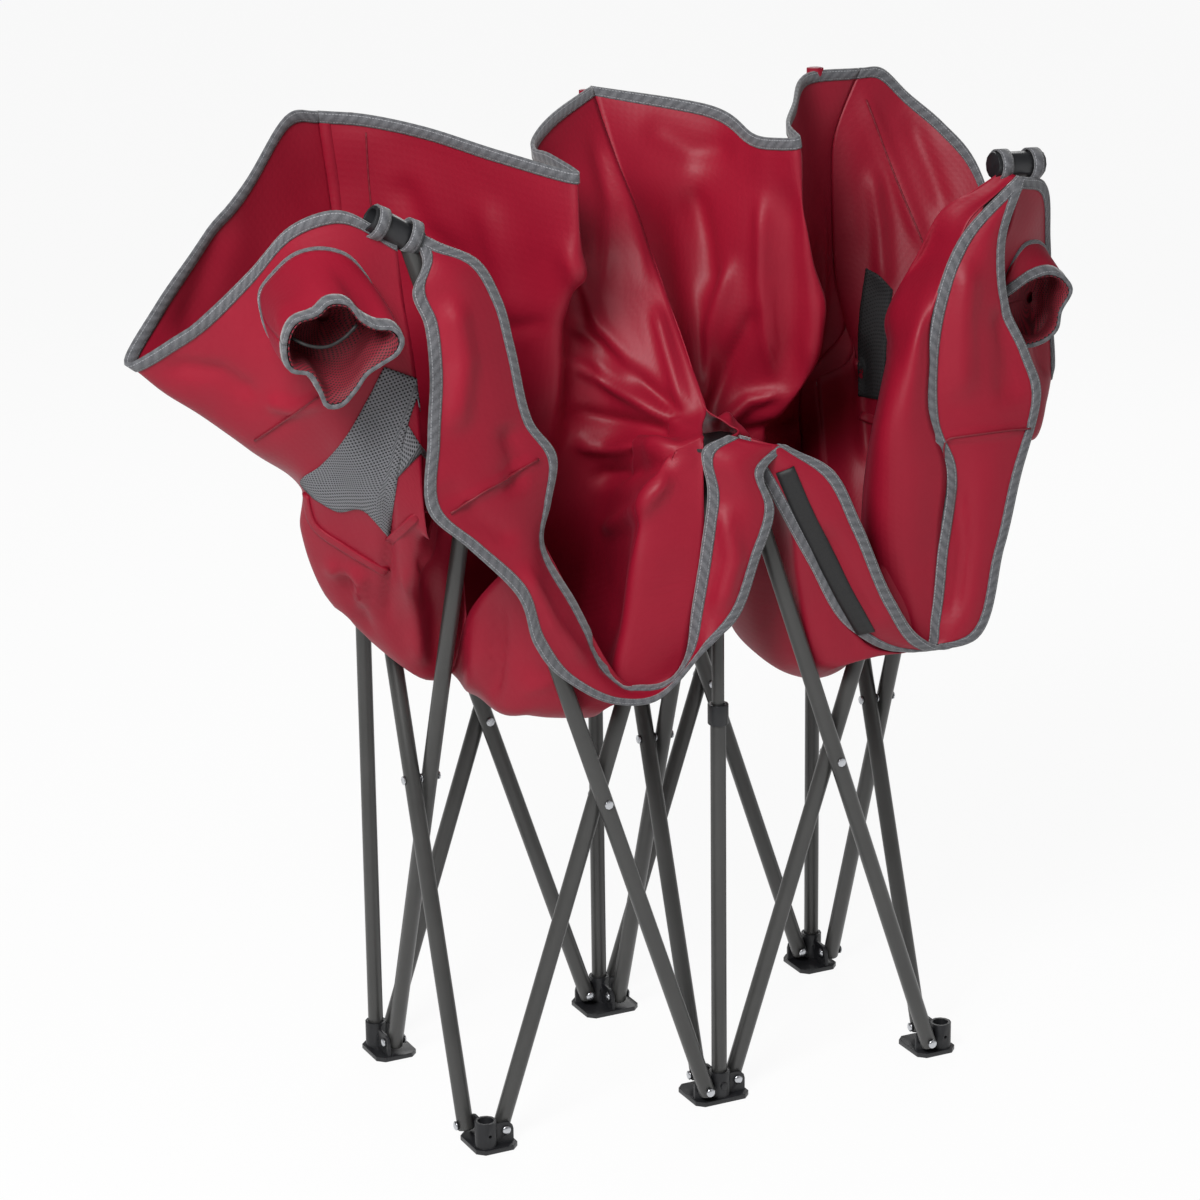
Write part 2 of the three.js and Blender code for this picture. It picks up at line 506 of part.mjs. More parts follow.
const seatLeftShares = [
  [[-0.2, -0.153, 0.605], [-0.174, -0.153, 0.522], [-0.149, -0.153, 0.454], [-0.124, -0.153, 0.434],
    [-0.099, -0.153, 0.454], [-0.074, -0.153, 0.522], [-0.048, -0.153, 0.605]],
  [[-0.2, -0.133, 0.605], [-0.174, -0.133, 0.522], [-0.149, -0.133, 0.45], [-0.124, -0.133, 0.43],
    [-0.099, -0.133, 0.45], [-0.074, -0.133, 0.522], [-0.048, -0.133, 0.605]],
  [[-0.2, -0.108, 0.6], [-0.174, -0.108, 0.524], [-0.149, -0.108, 0.452], [-0.124, -0.108, 0.426],
    [-0.099, -0.108, 0.452], [-0.074, -0.108, 0.524], [-0.048, -0.108, 0.6]],
  [[-0.2234, -0.06, 0.548], [-0.188, -0.06, 0.466], [-0.156, -0.06, 0.426], [-0.124, -0.06, 0.412],
    [-0.092, -0.06, 0.426], [-0.06, -0.06, 0.466], [-0.028, -0.06, 0.548]],
  [[-0.2234, -0.028, 0.462], [-0.188, -0.03, 0.43], [-0.156, -0.03, 0.412], [-0.124, -0.03, 0.405],
    [-0.092, -0.03, 0.412], [-0.06, -0.03, 0.43], [-0.026, -0.03, 0.47]],
  [[-0.2234, 0.002, 0.426], [-0.188, 0, 0.412], [-0.156, 0, 0.402], [-0.124, 0, 0.398],
    [-0.092, 0, 0.402], [-0.06, 0, 0.414], [-0.024, 0, 0.44]],
  [[-0.2234, 0.035, 0.47], [-0.188, 0.038, 0.436], [-0.156, 0.04, 0.418], [-0.124, 0.04, 0.41],
    [-0.092, 0.04, 0.418], [-0.06, 0.04, 0.436], [-0.026, 0.04, 0.48]],
  [[-0.2234, 0.068, 0.52], [-0.188, 0.075, 0.475], [-0.156, 0.077, 0.445], [-0.124, 0.077, 0.432],
    [-0.092, 0.077, 0.445], [-0.06, 0.077, 0.475], [-0.028, 0.077, 0.51]],
  [[-0.2234, 0.104, 0.52], [-0.188, 0.103, 0.49], [-0.156, 0.102, 0.47], [-0.124, 0.102, 0.46],
    [-0.092, 0.102, 0.47], [-0.06, 0.103, 0.49], [-0.028, 0.104, 0.52]],
];
const bandLeftShares = [
  [[-0.288, -0.151, 0.862], [-0.227, -0.157, 0.791], [-0.185, -0.16, 0.69], [-0.185, -0.162, 0.6],
    [-0.13, -0.163, 0.487], [-0.075, -0.163, 0.45], [-0.032, -0.162, 0.545], [-0.004, -0.162, 0.668]],
  [[-0.296, -0.151, 0.85], [-0.264, -0.162, 0.765], [-0.242, -0.172, 0.664], [-0.21, -0.182, 0.57],
    [-0.15, -0.182, 0.47], [-0.08, -0.178, 0.438], [-0.02, -0.172, 0.51], [0.022, -0.168, 0.636]],
  [[-0.301, -0.151, 0.842], [-0.298, -0.166, 0.745], [-0.292, -0.178, 0.64], [-0.235, -0.2, 0.545],
    [-0.17, -0.2, 0.455], [-0.086, -0.19, 0.428], [-0.008, -0.18, 0.478], [0.048, -0.172, 0.604]],
];
const bandRightShares = [
  [[0.02, -0.1543, 0.674], [0.11, -0.1543, 0.625], [0.18, -0.1543, 0.56], [0.225, -0.1543, 0.525],
    [0.222, -0.1543, 0.58], [0.212, -0.1543, 0.655], [0.222, -0.1543, 0.748], [0.248, -0.1543, 0.803],
    [0.282, -0.1543, 0.862]],
  [[0.048, -0.164, 0.662], [0.12, -0.164, 0.6], [0.2, -0.167, 0.5], [0.248, -0.168, 0.475],
    [0.262, -0.163, 0.54], [0.278, -0.161, 0.667], [0.268, -0.16, 0.742], [0.27, -0.159, 0.812],
    [0.29, -0.158, 0.86]],
  [[0.076, -0.17, 0.655], [0.134, -0.172, 0.58], [0.221, -0.178, 0.445], [0.272, -0.178, 0.434],
    [0.3, -0.17, 0.501], [0.345, -0.165, 0.68], [0.315, -0.162, 0.737], [0.292, -0.16, 0.822],
    [0.298, -0.159, 0.858]],
];
const webbingShares = [
  [[0.058, -0.1543, 0.615], [0.09, -0.1543, 0.555], [0.122, -0.1543, 0.505], [0.152, -0.1543, 0.462]],
  [[0.04, -0.1543, 0.598], [0.072, -0.1543, 0.54], [0.102, -0.1543, 0.488], [0.134, -0.1543, 0.446]],
];

const pointOf = (share) => v3(share[0], share[1], share[2]).multiplyScalar(clothReach);

// A function that gives the sheet's point at (along, down), each from 0 to 1
function sheetThrough(shares) {
  const rows = shares.map((row) => new THREE.CatmullRomCurve3(row.map(pointOf), false, 'centripetal'));
  return (along, down) => {
    const column = rows.map((row) => row.getPoint(along));
    return new THREE.CatmullRomCurve3(column, false, 'centripetal').getPoint(down);
  };
}

// A sheet made solid: thickness in all, moved by lift along its own face
function slab(surface, columns, rows, thickness, lift, area) {
  const [along0, along1, down0, down1] = area;
  const positions = [];
  const step = 1e-3;
  const place = (i, j) => [along0 + (along1 - along0) * i / columns, down0 + (down1 - down0) * j / rows];
  const within = (value) => Math.min(1, Math.max(0, value));
  for (const half of [0.5, -0.5]) {
    for (let j = 0; j <= rows; j += 1) {
      for (let i = 0; i <= columns; i += 1) {
        const [along, down] = place(i, j);
        const across = surface(within(along + step), down).sub(surface(within(along - step), down));
        const fall = surface(along, within(down + step)).sub(surface(along, within(down - step)));
        const face = across.cross(fall).normalize();
        positions.push(surface(along, down).addScaledVector(face, lift + half * thickness));
      }
    }
  }
  const at = (side, i, j) => side * (columns + 1) * (rows + 1) + j * (columns + 1) + i;
  const index = [];
  const quad = (a, b, c, d) => index.push(a, b, c, a, c, d);
  for (let j = 0; j < rows; j += 1) {
    for (let i = 0; i < columns; i += 1) {
      quad(at(0, i, j), at(0, i + 1, j), at(0, i + 1, j + 1), at(0, i, j + 1));
      quad(at(1, i, j), at(1, i, j + 1), at(1, i + 1, j + 1), at(1, i + 1, j));
    }
    quad(at(0, 0, j), at(0, 0, j + 1), at(1, 0, j + 1), at(1, 0, j));
    quad(at(0, columns, j + 1), at(0, columns, j), at(1, columns, j), at(1, columns, j + 1));
  }
  for (let i = 0; i < columns; i += 1) {
    quad(at(0, i + 1, 0), at(0, i, 0), at(1, i, 0), at(1, i + 1, 0));
    quad(at(0, i, rows), at(0, i + 1, rows), at(1, i + 1, rows), at(1, i, rows));
  }
  const geometry = new THREE.BufferGeometry().setFromPoints(positions);
  geometry.setIndex(index);
  return geometry;
}

function turned(shares) {
  return shares.map((row) => row.slice().reverse());
}
const mirrored = (shares) => shares.map((row) => row.map(([x, y, z]) => [-x, y, z]).reverse());

const whole = [0, 1, 0, 1];
const sheetOf = (shares, columns, rows) => slab(sheetThrough(shares), columns, rows, clothThickness, 0, whole);

addPart('back_panel_left', sheetOf(backLeftShares, 18, 10), redCloth);
addPart('back_panel_right', sheetOf(backRightShares, 18, 10), redCloth);
addPart('seat_panel_left', sheetOf(seatLeftShares, 12, 14), redCloth);
addPart('seat_panel_right', sheetOf(mirrored(seatLeftShares), 12, 14), redCloth);
addPart('front_band_left', sheetOf(bandLeftShares, 24, 2), redCloth);
addPart('front_band_right', sheetOf(bandRightShares, 24, 2), redCloth);
addPart('front_webbing', sheetOf(webbingShares, 6, 1), blackWeb);

// Cup holders: each a tapered cup through a hole in its side panel, open to the outside
const cupLeft = { at: [-0.376, -0.123, 0.828], face: [-0.3, -0.87, -0.38] };
const cupRight = { at: [0.39, -0.11, 0.792], face: [0.55, -0.78, -0.3] };

function turnedOut(cup, profile) {
  const geometry = new THREE.LatheGeometry(profile.map(([r, h]) => new THREE.Vector2(r, h)), 24);
  geometry.applyQuaternion(new THREE.Quaternion().setFromUnitVectors(v3(0, 1, 0), v3(...cup.face).normalize()));
  const at = pointOf(cup.at);
  geometry.translate(at.x, at.y, at.z);
  return solidOf(geometry);
}

const cupTaper = (cupBaseRadius - cupMouthRadius) / (cupInside + cupOutside);
function cupHolder(cup) {
  return turnedOut(cup, [
    [0, -cupInside], [cupBaseRadius, -cupInside], [cupMouthRadius, cupOutside],
    [cupMouthRadius - cupWall, cupOutside], [cupBaseRadius - cupWall - cupTaper * cupWall, -cupInside + cupWall],
    [0, -cupInside + cupWall],
  ]);
}
function cupSpace(cup) {
  return turnedOut(cup, [
    [0, -cupInside - clearance], [cupBaseRadius + 2 * clearance, -cupInside - clearance],
    [cupMouthRadius + 2 * clearance, cupOutside + overrun], [0, cupOutside + overrun],
  ]);
}
addPart('cup_holder_left', geometryOf(cupHolder(cupLeft)), redCloth);
addPart('cup_holder_right', geometryOf(cupHolder(cupRight)), redCloth);

const sideLeft = sheetThrough(sideLeftShares);
const sideRight = sheetThrough(turned(sideRightShares));
const cut = (geometry, cup) => geometryOf(solidOf(geometry).subtract(cupSpace(cup)));
const sideColumns = 16;
const sideRows = 10;
for (const [side, sheet, cup] of [['left', sideLeft, cupLeft], ['right', sideRight, cupRight]]) {
  addPart(`side_panel_${side}`,
    cut(slab(sheet, sideColumns, sideRows, clothThickness, 0, whole), cup), redCloth);
}

// Mesh window and pocket: each lies outside its side panel, on that panel's own grid of facets
function patch(sheet, gap, column0, column1, row0, row1) {
  const inset = 0.04;
  const area = [column0 / sideColumns, column1 / sideColumns, (row0 + inset) / sideRows, (row1 - inset) / sideRows];
  return slab(sheet, column1 - column0, row1 - row0, clothThickness, -clothThickness - gap, area);
}
addPart('side_mesh_left', patch(sideLeft, meshGap, 10, 15, 3, 5), greyMesh);
addPart('side_mesh_right', patch(sideRight, meshGap, 1, 6, 3, 5), greyMesh);
addPart('side_pocket_left', patch(sideLeft, pocketGap, 10, 14, 5, 7), redCloth);
addPart('side_pocket_right', patch(sideRight, pocketGap, 2, 6, 5, 7), redCloth);

export default loveseat;
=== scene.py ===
# Folding camping loveseat, standing half folded: cloth, bindings, mesh, straps and frame finishes
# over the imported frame. Metres, +Z up, +X to the right of the front view, the front to -Y.
import json
import math

import bpy
import numpy as np
from mathutils import Matrix, Vector, noise
from mathutils.bvhtree import BVHTree

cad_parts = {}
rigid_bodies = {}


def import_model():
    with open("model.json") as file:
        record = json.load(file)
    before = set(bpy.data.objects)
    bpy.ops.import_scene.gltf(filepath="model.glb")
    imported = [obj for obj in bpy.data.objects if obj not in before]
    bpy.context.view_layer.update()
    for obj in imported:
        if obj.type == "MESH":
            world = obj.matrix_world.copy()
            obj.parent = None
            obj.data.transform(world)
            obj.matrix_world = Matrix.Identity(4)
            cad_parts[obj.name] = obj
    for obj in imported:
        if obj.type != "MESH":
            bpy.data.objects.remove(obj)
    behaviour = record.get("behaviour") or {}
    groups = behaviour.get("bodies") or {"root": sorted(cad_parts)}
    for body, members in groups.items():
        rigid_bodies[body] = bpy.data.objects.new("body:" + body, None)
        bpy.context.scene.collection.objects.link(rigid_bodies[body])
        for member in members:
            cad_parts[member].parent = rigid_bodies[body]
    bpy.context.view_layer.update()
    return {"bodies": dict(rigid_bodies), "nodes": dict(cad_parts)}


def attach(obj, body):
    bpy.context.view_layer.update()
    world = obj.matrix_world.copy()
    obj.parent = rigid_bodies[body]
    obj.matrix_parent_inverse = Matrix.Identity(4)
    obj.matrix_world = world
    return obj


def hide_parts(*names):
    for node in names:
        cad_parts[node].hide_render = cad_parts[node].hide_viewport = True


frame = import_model()
nodes = frame["nodes"]
scene = bpy.context.scene
mm = 0.001
print("frame loaded:", len(nodes), "nodes")


# Camera: the photograph's long lens, from the front left and slightly above
camera = {
    "lens": 117.4, "sensor": 36.0, "picture": 1200.0, "location": (-1.6258, -3.0975, 1.6119),
    "right": (0.898, -0.44, -0.012), "up": (0.142, 0.265, 0.954),
}


def cameraAxes():
    right = Vector(camera["right"]).normalized()
    up = Vector(camera["up"])
    up = (up - up.dot(right) * right).normalized()
    return right, up, right.cross(up)


def makeCamera():
    data = bpy.data.cameras.new("photoCamera")
    data.lens = camera["lens"]
    data.sensor_width = camera["sensor"]
    eye = bpy.data.objects.new("photoCamera", data)
    scene.collection.objects.link(eye)
    turn = Matrix(cameraAxes()).transposed().to_4x4()
    eye.matrix_world = Matrix.Translation(camera["location"]) @ turn
    scene.camera = eye


makeCamera()
rightWay, upWay, backWay = (np.array(axis) for axis in cameraAxes())
eyePoint = np.array(camera["location"])
pixelsPerTurn = camera["lens"] / camera["sensor"] * camera["picture"]
pictureHalf = camera["picture"] / 2


def rayTo(across, down):
    right = (across - pictureHalf) / pixelsPerTurn * rightWay
    return right - (down - pictureHalf) / pixelsPerTurn * upWay - backWay


# The place in millimetres, on the upright plane at a depth, that shows at a pixel of the photograph
def seen(across, down, depth):
    ray = rayTo(across, down)
    reach = (depth * mm - eyePoint[1]) / ray[1]
    return tuple((eyePoint + reach * ray) / mm)


def pictureOf(points):
    offset = points - eyePoint
    far = -(offset @ backWay)
    across = pictureHalf + pixelsPerTurn * (offset @ rightWay) / far
    down = pictureHalf - pixelsPerTurn * (offset @ upWay) / far
    return np.stack([across, down], axis=-1)


# Material tools
def toLinear(hexColour):
    channels = [int(hexColour[i:i + 2], 16) / 255 for i in (1, 3, 5)]
    linear = [c / 12.92 if c <= 0.04045 else ((c + 0.055) / 1.055) ** 2.4 for c in channels]
    return (*linear, 1.0)


def emptyTree(holder):
    holder.use_nodes = True
    holder.node_tree.nodes.clear()
    return holder.node_tree


def addNode(tree, kind, settings):
    # Settings are attributes, or sockets by name or number: another node's socket is linked to them
    node = tree.nodes.new(kind)
    for key, value in settings.items():
        if isinstance(key, str) and hasattr(node, key):
            setattr(node, key, value)
        elif isinstance(value, bpy.types.NodeSocket):
            tree.links.new(value, node.inputs[key])
        elif isinstance(value, str):
            node.inputs[key].default_value = toLinear(value)
        else:
            node.inputs[key].default_value = value
    return node


def newMaterial(name, settings):
    material = bpy.data.materials.new(name)
    tree = emptyTree(material)
    shader = addNode(tree, "ShaderNodeBsdfPrincipled", settings)
    addNode(tree, "ShaderNodeOutputMaterial", {"Surface": shader.outputs[0]})
    place = addNode(tree, "ShaderNodeTexCoord", {})
    place.name = "place"
    return material, tree, shader


def placeOf(tree, kind):
    return tree.nodes["place"].outputs[kind]


def addNoise(tree, scale, detail=2.0, **more):
    settings = {"Scale": scale, "Detail": detail, "Vector": placeOf(tree, "Object"), **more}
    return addNode(tree, "ShaderNodeTexNoise", settings).outputs["Fac"]


def addBands(tree, place, turn, distortion, way="X", **more):
    # The turn is in radians for each metre of the map. The wave texture turns by 20 radians at scale 1.
    settings = {"wave_type": "BANDS", "bands_direction": way, "Scale": turn / 20, "Distortion": distortion,
                "Vector": place, **more}
    return addNode(tree, "ShaderNodeTexWave", settings).outputs["Fac"]


def addMath(tree, operation, *values, **more):
    settings = {"operation": operation, **more, **dict(enumerate(values))}
    return addNode(tree, "ShaderNodeMath", settings).outputs[0]


def addMix(tree, factor, first, second):
    settings = {"data_type": "RGBA", 0: factor, 6: first, 7: second}
    return addNode(tree, "ShaderNodeMix", settings).outputs[2]


def addBump(tree, shader, height, strength, distance, **under):
    settings = {"Strength": strength, "Distance": distance, "Height": height, **under}
    bump = addNode(tree, "ShaderNodeBump", settings).outputs[0]
    tree.links.new(bump, shader.inputs["Normal"])
    return bump


# Materials. Their patterns lie on the piece's own map or on object coordinates, both in metres. A radian size
# is the length in millimetres of one radian of a wave, so its ridges are 2 pi times as far apart.
def makeOxford(name, colour, deep, radianMm, rough):
    # Woven polyester with a coated back: a plain weave, broad soft shade changes, a crumple where it was
    # folded away, and a dull sheen
    material, tree, shader = newMaterial(name, {"Sheen Weight": 0.08, "Sheen Roughness": 0.4,
                                                "Sheen Tint": "#e0708a", "Specular IOR Level": 0.3})
    flat = placeOf(tree, "UV")
    threads = [addBands(tree, flat, 1000 / radianMm, 0.6, way, Detail=1.0) for way in "XY"]
    weave = addMath(tree, "MAXIMUM", *threads)
    broad = addNoise(tree, 9.0, 3.0, Roughness=0.55)
    slub = addNoise(tree, 220.0)
    shade = addMath(tree, "MULTIPLY_ADD", broad, 0.7, 0.15)
    tree.links.new(addMix(tree, shade, deep, colour), shader.inputs["Base Color"])
    fine = addBump(tree, shader, addMath(tree, "MULTIPLY_ADD", slub, 0.5, weave), 0.22, 0.0003)
    crease = addNoise(tree, 7.0, 1.6, noise_type="RIDGED_MULTIFRACTAL", Roughness=0.45, Distortion=0.7)
    addBump(tree, shader, crease, 0.6, 0.007, Normal=fine)
    tree.links.new(addMath(tree, "MULTIPLY_ADD", broad, 0.12, rough - 0.06), shader.inputs["Roughness"])
    return material


# The rows of stitches are at a share of the width from the middle. The width is in metres.
tape = {"wide": 0.011, "slant": 0.7, "twillTurn": 760, "stitchMm": 3.2, "stitchShare": 0.72,
        "stitchRow": 0.36, "stitchHalf": 0.035}


def makeTape(name, colour, deep, thread):
    # Woven polyester binding tape in heather grey: a diagonal twill with a paler row of stitches near each
    # edge. The map runs along the tape in metres, and across it from 0 to 1.
    material, tree, shader = newMaterial(name, {"Roughness": 0.85, "Sheen Weight": 0.3,
                                                "Sheen Roughness": 0.5})
    flat = placeOf(tree, "UV")
    turned = addNode(tree, "ShaderNodeMapping", {"Scale": (1.0, tape["wide"], 1.0),
                                                 "Rotation": (0, 0, tape["slant"]), "Vector": flat})
    twill = addBands(tree, turned.outputs[0], tape["twillTurn"], 1.2, **{"Detail": 2.0, "Detail Scale": 6.0})
    heather = addNoise(tree, 900.0, 1.0)
    along, across = addNode(tree, "ShaderNodeSeparateXYZ", {0: flat}).outputs[:2]
    part = addMath(tree, "FRACT", addMath(tree, "MULTIPLY", along, 1000 / tape["stitchMm"]))
    side = addMath(tree, "ABSOLUTE", addMath(tree, "SUBTRACT", across, 0.5))
    row = addMath(tree, "COMPARE", side, tape["stitchRow"], tape["stitchHalf"])
    stitch = addMath(tree, "MULTIPLY", row, addMath(tree, "LESS_THAN", part, tape["stitchShare"]))
    tone = addMath(tree, "MULTIPLY_ADD", twill, 0.45, heather)
    cloth = addMix(tree, addMath(tree, "MULTIPLY_ADD", tone, 0.9, -0.2, use_clamp=True), deep, colour)
    tree.links.new(addMix(tree, stitch, cloth, thread), shader.inputs["Base Color"])
    addBump(tree, shader, addMath(tree, "MULTIPLY_ADD", stitch, 1.5, twill), 0.6, 0.0004)
    return material


knit = {"alongMm": 3.4, "acrossMm": 0.82 * 3.4, "hole": 0.22, "ground": 0.34}


def makeAirMesh(name, colour):
    # Knitted polyester air mesh: staggered rows of oval holes in a plain ground. The holes are painted near
    # black, as painted shade for the dim space seen through them
    material, tree, shader = newMaterial(name, {"Roughness": 0.7})
    turned = addNode(tree, "ShaderNodeMapping", {
        "Rotation": (0, 0, math.radians(45)), "Scale": (1000 / knit["alongMm"], 1000 / knit["acrossMm"], 1),
        "Vector": placeOf(tree, "UV")})
    cell = addNode(tree, "ShaderNodeTexVoronoi", {"voronoi_dimensions": "2D", "Scale": 1.0, "Randomness": 0.0,
                                                  "Vector": turned.outputs[0]})
    hole = addNode(tree, "ShaderNodeMapRange", {"From Min": knit["hole"], "From Max": knit["ground"],
                                                "Value": cell.outputs["Distance"]}).outputs[0]
    # The near-black in the holes is painted shade: it stands for the dim space behind the mesh, not a colour
    # of the knit
    tree.links.new(addMix(tree, hole, "#101012", colour), shader.inputs["Base Color"])
    addBump(tree, shader, hole, 0.8, 0.0008)
    return material


def makeWebbing(name, colour, deep, radianMm=1.6):
    # Woven webbing or twisted thread: ribs across its length and mottled fibre, with a slight gloss
    material, tree, shader = newMaterial(name, {"Roughness": 0.6})
    tree.links.new(addMix(tree, addNoise(tree, 700.0), deep, colour), shader.inputs["Base Color"])
    addBump(tree, shader, addBands(tree, placeOf(tree, "UV"), 1000 / radianMm, 0.4), 0.5, 0.0005)
    return material


def makeFinish(name, colour, deep, grain, relief, patches, rough, metallic):
    # A fine grain in the relief, and broad patches in the colour and the roughness. Grain and patches are a
    # noise's scale and detail, relief is a bump's strength and distance, rough is a factor and an offset.
    material, tree, shader = newMaterial(name, {"Metallic": metallic})
    broad = addNoise(tree, *patches)
    tree.links.new(addMix(tree, broad, deep, colour), shader.inputs["Base Color"])
    addBump(tree, shader, addNoise(tree, *grain), *relief)
    tree.links.new(addMath(tree, "MULTIPLY_ADD", broad, *rough), shader.inputs["Roughness"])
    return material


def makeZinc(name, colour):
    # Zinc-plated rivet steel: bright, with fine handling marks
    material, tree, shader = newMaterial(name, {"Base Color": colour, "Metallic": 1.0})
    marks = addNoise(tree, 800.0)
    tree.links.new(addMath(tree, "MULTIPLY_ADD", marks, 0.25, 0.18), shader.inputs["Roughness"])
    addBump(tree, shader, marks, 0.1, 0.0002)
    return material


redOxford = makeOxford("wovenPolyesterCrimson", "#9f122d", "#7c0b22", 1.1, 0.5)
greyTape = makeTape("twillBindingTapeGrey", "#707175", "#404145", "#8f9094")
greyMesh = makeAirMesh("knittedAirMeshGrey", "#77787c")
redMesh = makeAirMesh("knittedAirMeshRed", "#7a1224")
blackMesh = makeAirMesh("knittedAirMeshBlack", "#2c2c2e")
blackWebbing = makeWebbing("polypropyleneWebbingBlack", "#232324", "#0c0c0d")
seamThread = makeWebbing("polyesterThreadCrimson", "#8a1026", "#5e0a1a")
# Powder-coated steel tube: charcoal satin with a fine orange peel that softens the highlights
charcoalCoat = makeFinish("powderCoatCharcoal", "#4d4d4c", "#3b3b3a", grain=(420.0, 2.0),
                          relief=(0.12, 0.0004), patches=(14.0, 3.0), rough=(0.14, 0.27), metallic=0.25)
# Injection-moulded glass-filled nylon: black with a fine spark texture and a low gloss
blackNylon = makeFinish("mouldedNylonBlack", "#26272a", "#141416", grain=(1100.0, 1.0),
                        relief=(0.15, 0.0003), patches=(60.0, 4.0), rough=(0.2, 0.32), metallic=0.0)
zincRivet = makeZinc("zincPlatedSteel", "#c4c6ca")
print("materials made")


# Floor, backdrop and lamps: an even white studio
stage = {"floor": 16.0, "drop": 0.0005, "glow": 0.93, "world": 0.16}
lamps = {
    "keyLamp": ((-1.9, -1.6, 2.6), (0, 0.1, 0.6), 1.3, 110.0),
    "fillLamp": ((1.8, -2.2, 1.3), (0, 0.1, 0.6), 1.8, 5.0),
    "rimLamp": ((1.2, 2.2, 2.0), (0, 0.1, 0.7), 1.4, 22.0),
}


def rayShare(tree, first, second):
    paths = addNode(tree, "ShaderNodeLightPath", {})
    return addMath(tree, "MAXIMUM", paths.outputs[first], paths.outputs[second])


def makeStage():
    material = bpy.data.materials.new("studioPaperWhite")
    tree = emptyTree(material)
    lit = addNode(tree, "ShaderNodeBsdfDiffuse", {"Color": "#f6f6f6"})
    glow = addNode(tree, "ShaderNodeEmission", {"Color": (1, 1, 1, 1), "Strength": 1.0})
    share = addMath(tree, "MULTIPLY", rayShare(tree, "Is Camera Ray", "Is Glossy Ray"), stage["glow"])
    mixed = addNode(tree, "ShaderNodeMixShader", {0: share, 1: lit.outputs[0], 2: glow.outputs[0]})
    addNode(tree, "ShaderNodeOutputMaterial", {"Surface": mixed.outputs[0]})
    bpy.ops.mesh.primitive_plane_add(size=stage["floor"] * 2, location=(0, 0, -stage["drop"]))
    floor = bpy.context.object
    floor.name = "studioFloor"
    floor.data.materials.append(material)
    scene.world = bpy.data.worlds.new("studioWorld")
    tree = emptyTree(scene.world)
    plain, white = (addNode(tree, "ShaderNodeBackground", {"Color": (1, 1, 1, 1), "Strength": strength})
                    for strength in (stage["world"], 1.0))
    share = rayShare(tree, "Is Camera Ray", "Is Transmission Ray")
    mixed = addNode(tree, "ShaderNodeMixShader", {0: share, 1: plain.outputs[0], 2: white.outputs[0]})
    addNode(tree, "ShaderNodeOutputWorld", {"Surface": mixed.outputs[0]})


def addLamp(name, place, aim, width, power):
    data = bpy.data.lights.new(name, "AREA")
    data.shape = "SQUARE"
    data.size = width
    data.energy = power
    lamp = bpy.data.objects.new(name, data)
    scene.collection.objects.link(lamp)
    lamp.location = place
    lamp.rotation_euler = (Vector(aim) - Vector(place)).to_track_quat("-Z", "Y").to_euler()


makeStage()
for name, settings in lamps.items():
    addLamp(name, *settings)
scene.view_settings.view_transform = "Standard"
print("stage lit")


# Mesh tools
def makeActive(piece):
    for each in bpy.context.selected_objects:
        each.select_set(False)
    bpy.context.view_layer.objects.active = piece
    piece.select_set(True)


def applyModifiers(piece):
    makeActive(piece)
    for modifier in list(piece.modifiers):
        bpy.ops.object.modifier_apply(modifier=modifier.name)


def meshPiece(name, points, faces, material, uv):
    data = bpy.data.meshes.new(name)
    data.from_pydata([tuple(p) for p in points], [], faces)
    data.materials.append(material)
    layer = data.uv_layers.new(name="clothMap")
    corners = np.zeros(len(data.loops), dtype=np.int32)
    data.loops.foreach_get("vertex_index", corners)
    layer.data.foreach_set("uv", np.asarray(uv, dtype=np.float32)[corners].ravel())
    for polygon in data.polygons:
        polygon.use_smooth = True
    piece = bpy.data.objects.new(name, data)
    scene.collection.objects.link(piece)
    return piece


def unit(vectors):
    return vectors / np.maximum(np.linalg.norm(vectors, axis=-1, keepdims=True), 1e-9)


def eased(value, limits):
    t = np.clip((value - limits[0]) / (limits[1] - limits[0]), 0, 1)
    return t * t * (3 - 2 * t)


def runAlong(points):
    return np.concatenate([[0], np.cumsum(np.linalg.norm(points[1:] - points[:-1], axis=1))])


def pointsAt(wanted, far, points):
    return np.stack([np.interp(wanted, far, column) for column in points.T], axis=-1)


# Cloth. A net of points given for the folds of this chair is drawn through with smooth curves, in rows from
# the top edge down. Points are millimetres; seen() gives the ones read off the photograph.
clothing = {
    "spacing": 5.0, "quickSpacing": 9.0, "thickness": 1.2, "foldDepth": 1.4, "foldFade": 0.22, "ripple": 1.1,
    "rippleWave": 55.0, "stillRows": 4, "sewnColumns": 4,
}
spacing = clothing["spacing"]


def smoothAlong(points, gaps):
    # Non-uniform Catmull-Rom along the first axis
    span = np.sqrt(((points[1:] - points[:-1]) ** 2).sum(axis=-1)).mean(axis=tuple(range(1, points.ndim - 1)))
    span = np.maximum(span, 1e-6)
    rise = (points[1:] - points[:-1]) / span.reshape((-1,) + (1,) * (points.ndim - 1))
    slope = np.empty_like(points)
    slope[0] = rise[0]
    slope[-1] = rise[-1]
    for i in range(1, len(points) - 1):
        slope[i] = (rise[i] * span[i - 1] + rise[i - 1] * span[i]) / (span[i - 1] + span[i])
    drawn = []
    for i, steps in enumerate(gaps):
        leave, arrive = span[i] * slope[i], span[i] * slope[i + 1]
        for k in range(steps):
            t = k / steps
            drawn.append((2 * t ** 3 - 3 * t ** 2 + 1) * points[i] + (t ** 3 - 2 * t ** 2 + t) * leave
                         + (3 * t ** 2 - 2 * t ** 3) * points[i + 1] + (t ** 3 - t ** 2) * arrive)
    drawn.append(points[-1])
    return np.array(drawn)


def drawNet(rows, spacing):
    net = np.array(rows, dtype=float)
    for _ in range(2):
        span = np.sqrt(((net[1:] - net[:-1]) ** 2).sum(axis=-1)).mean(axis=1)
        net = np.swapaxes(smoothAlong(net, [max(1, int(round(s / spacing))) for s in span]), 0, 1)
    return net


def netNormals(net):
    return unit(np.cross(np.gradient(net, axis=1), np.gradient(net, axis=0)))


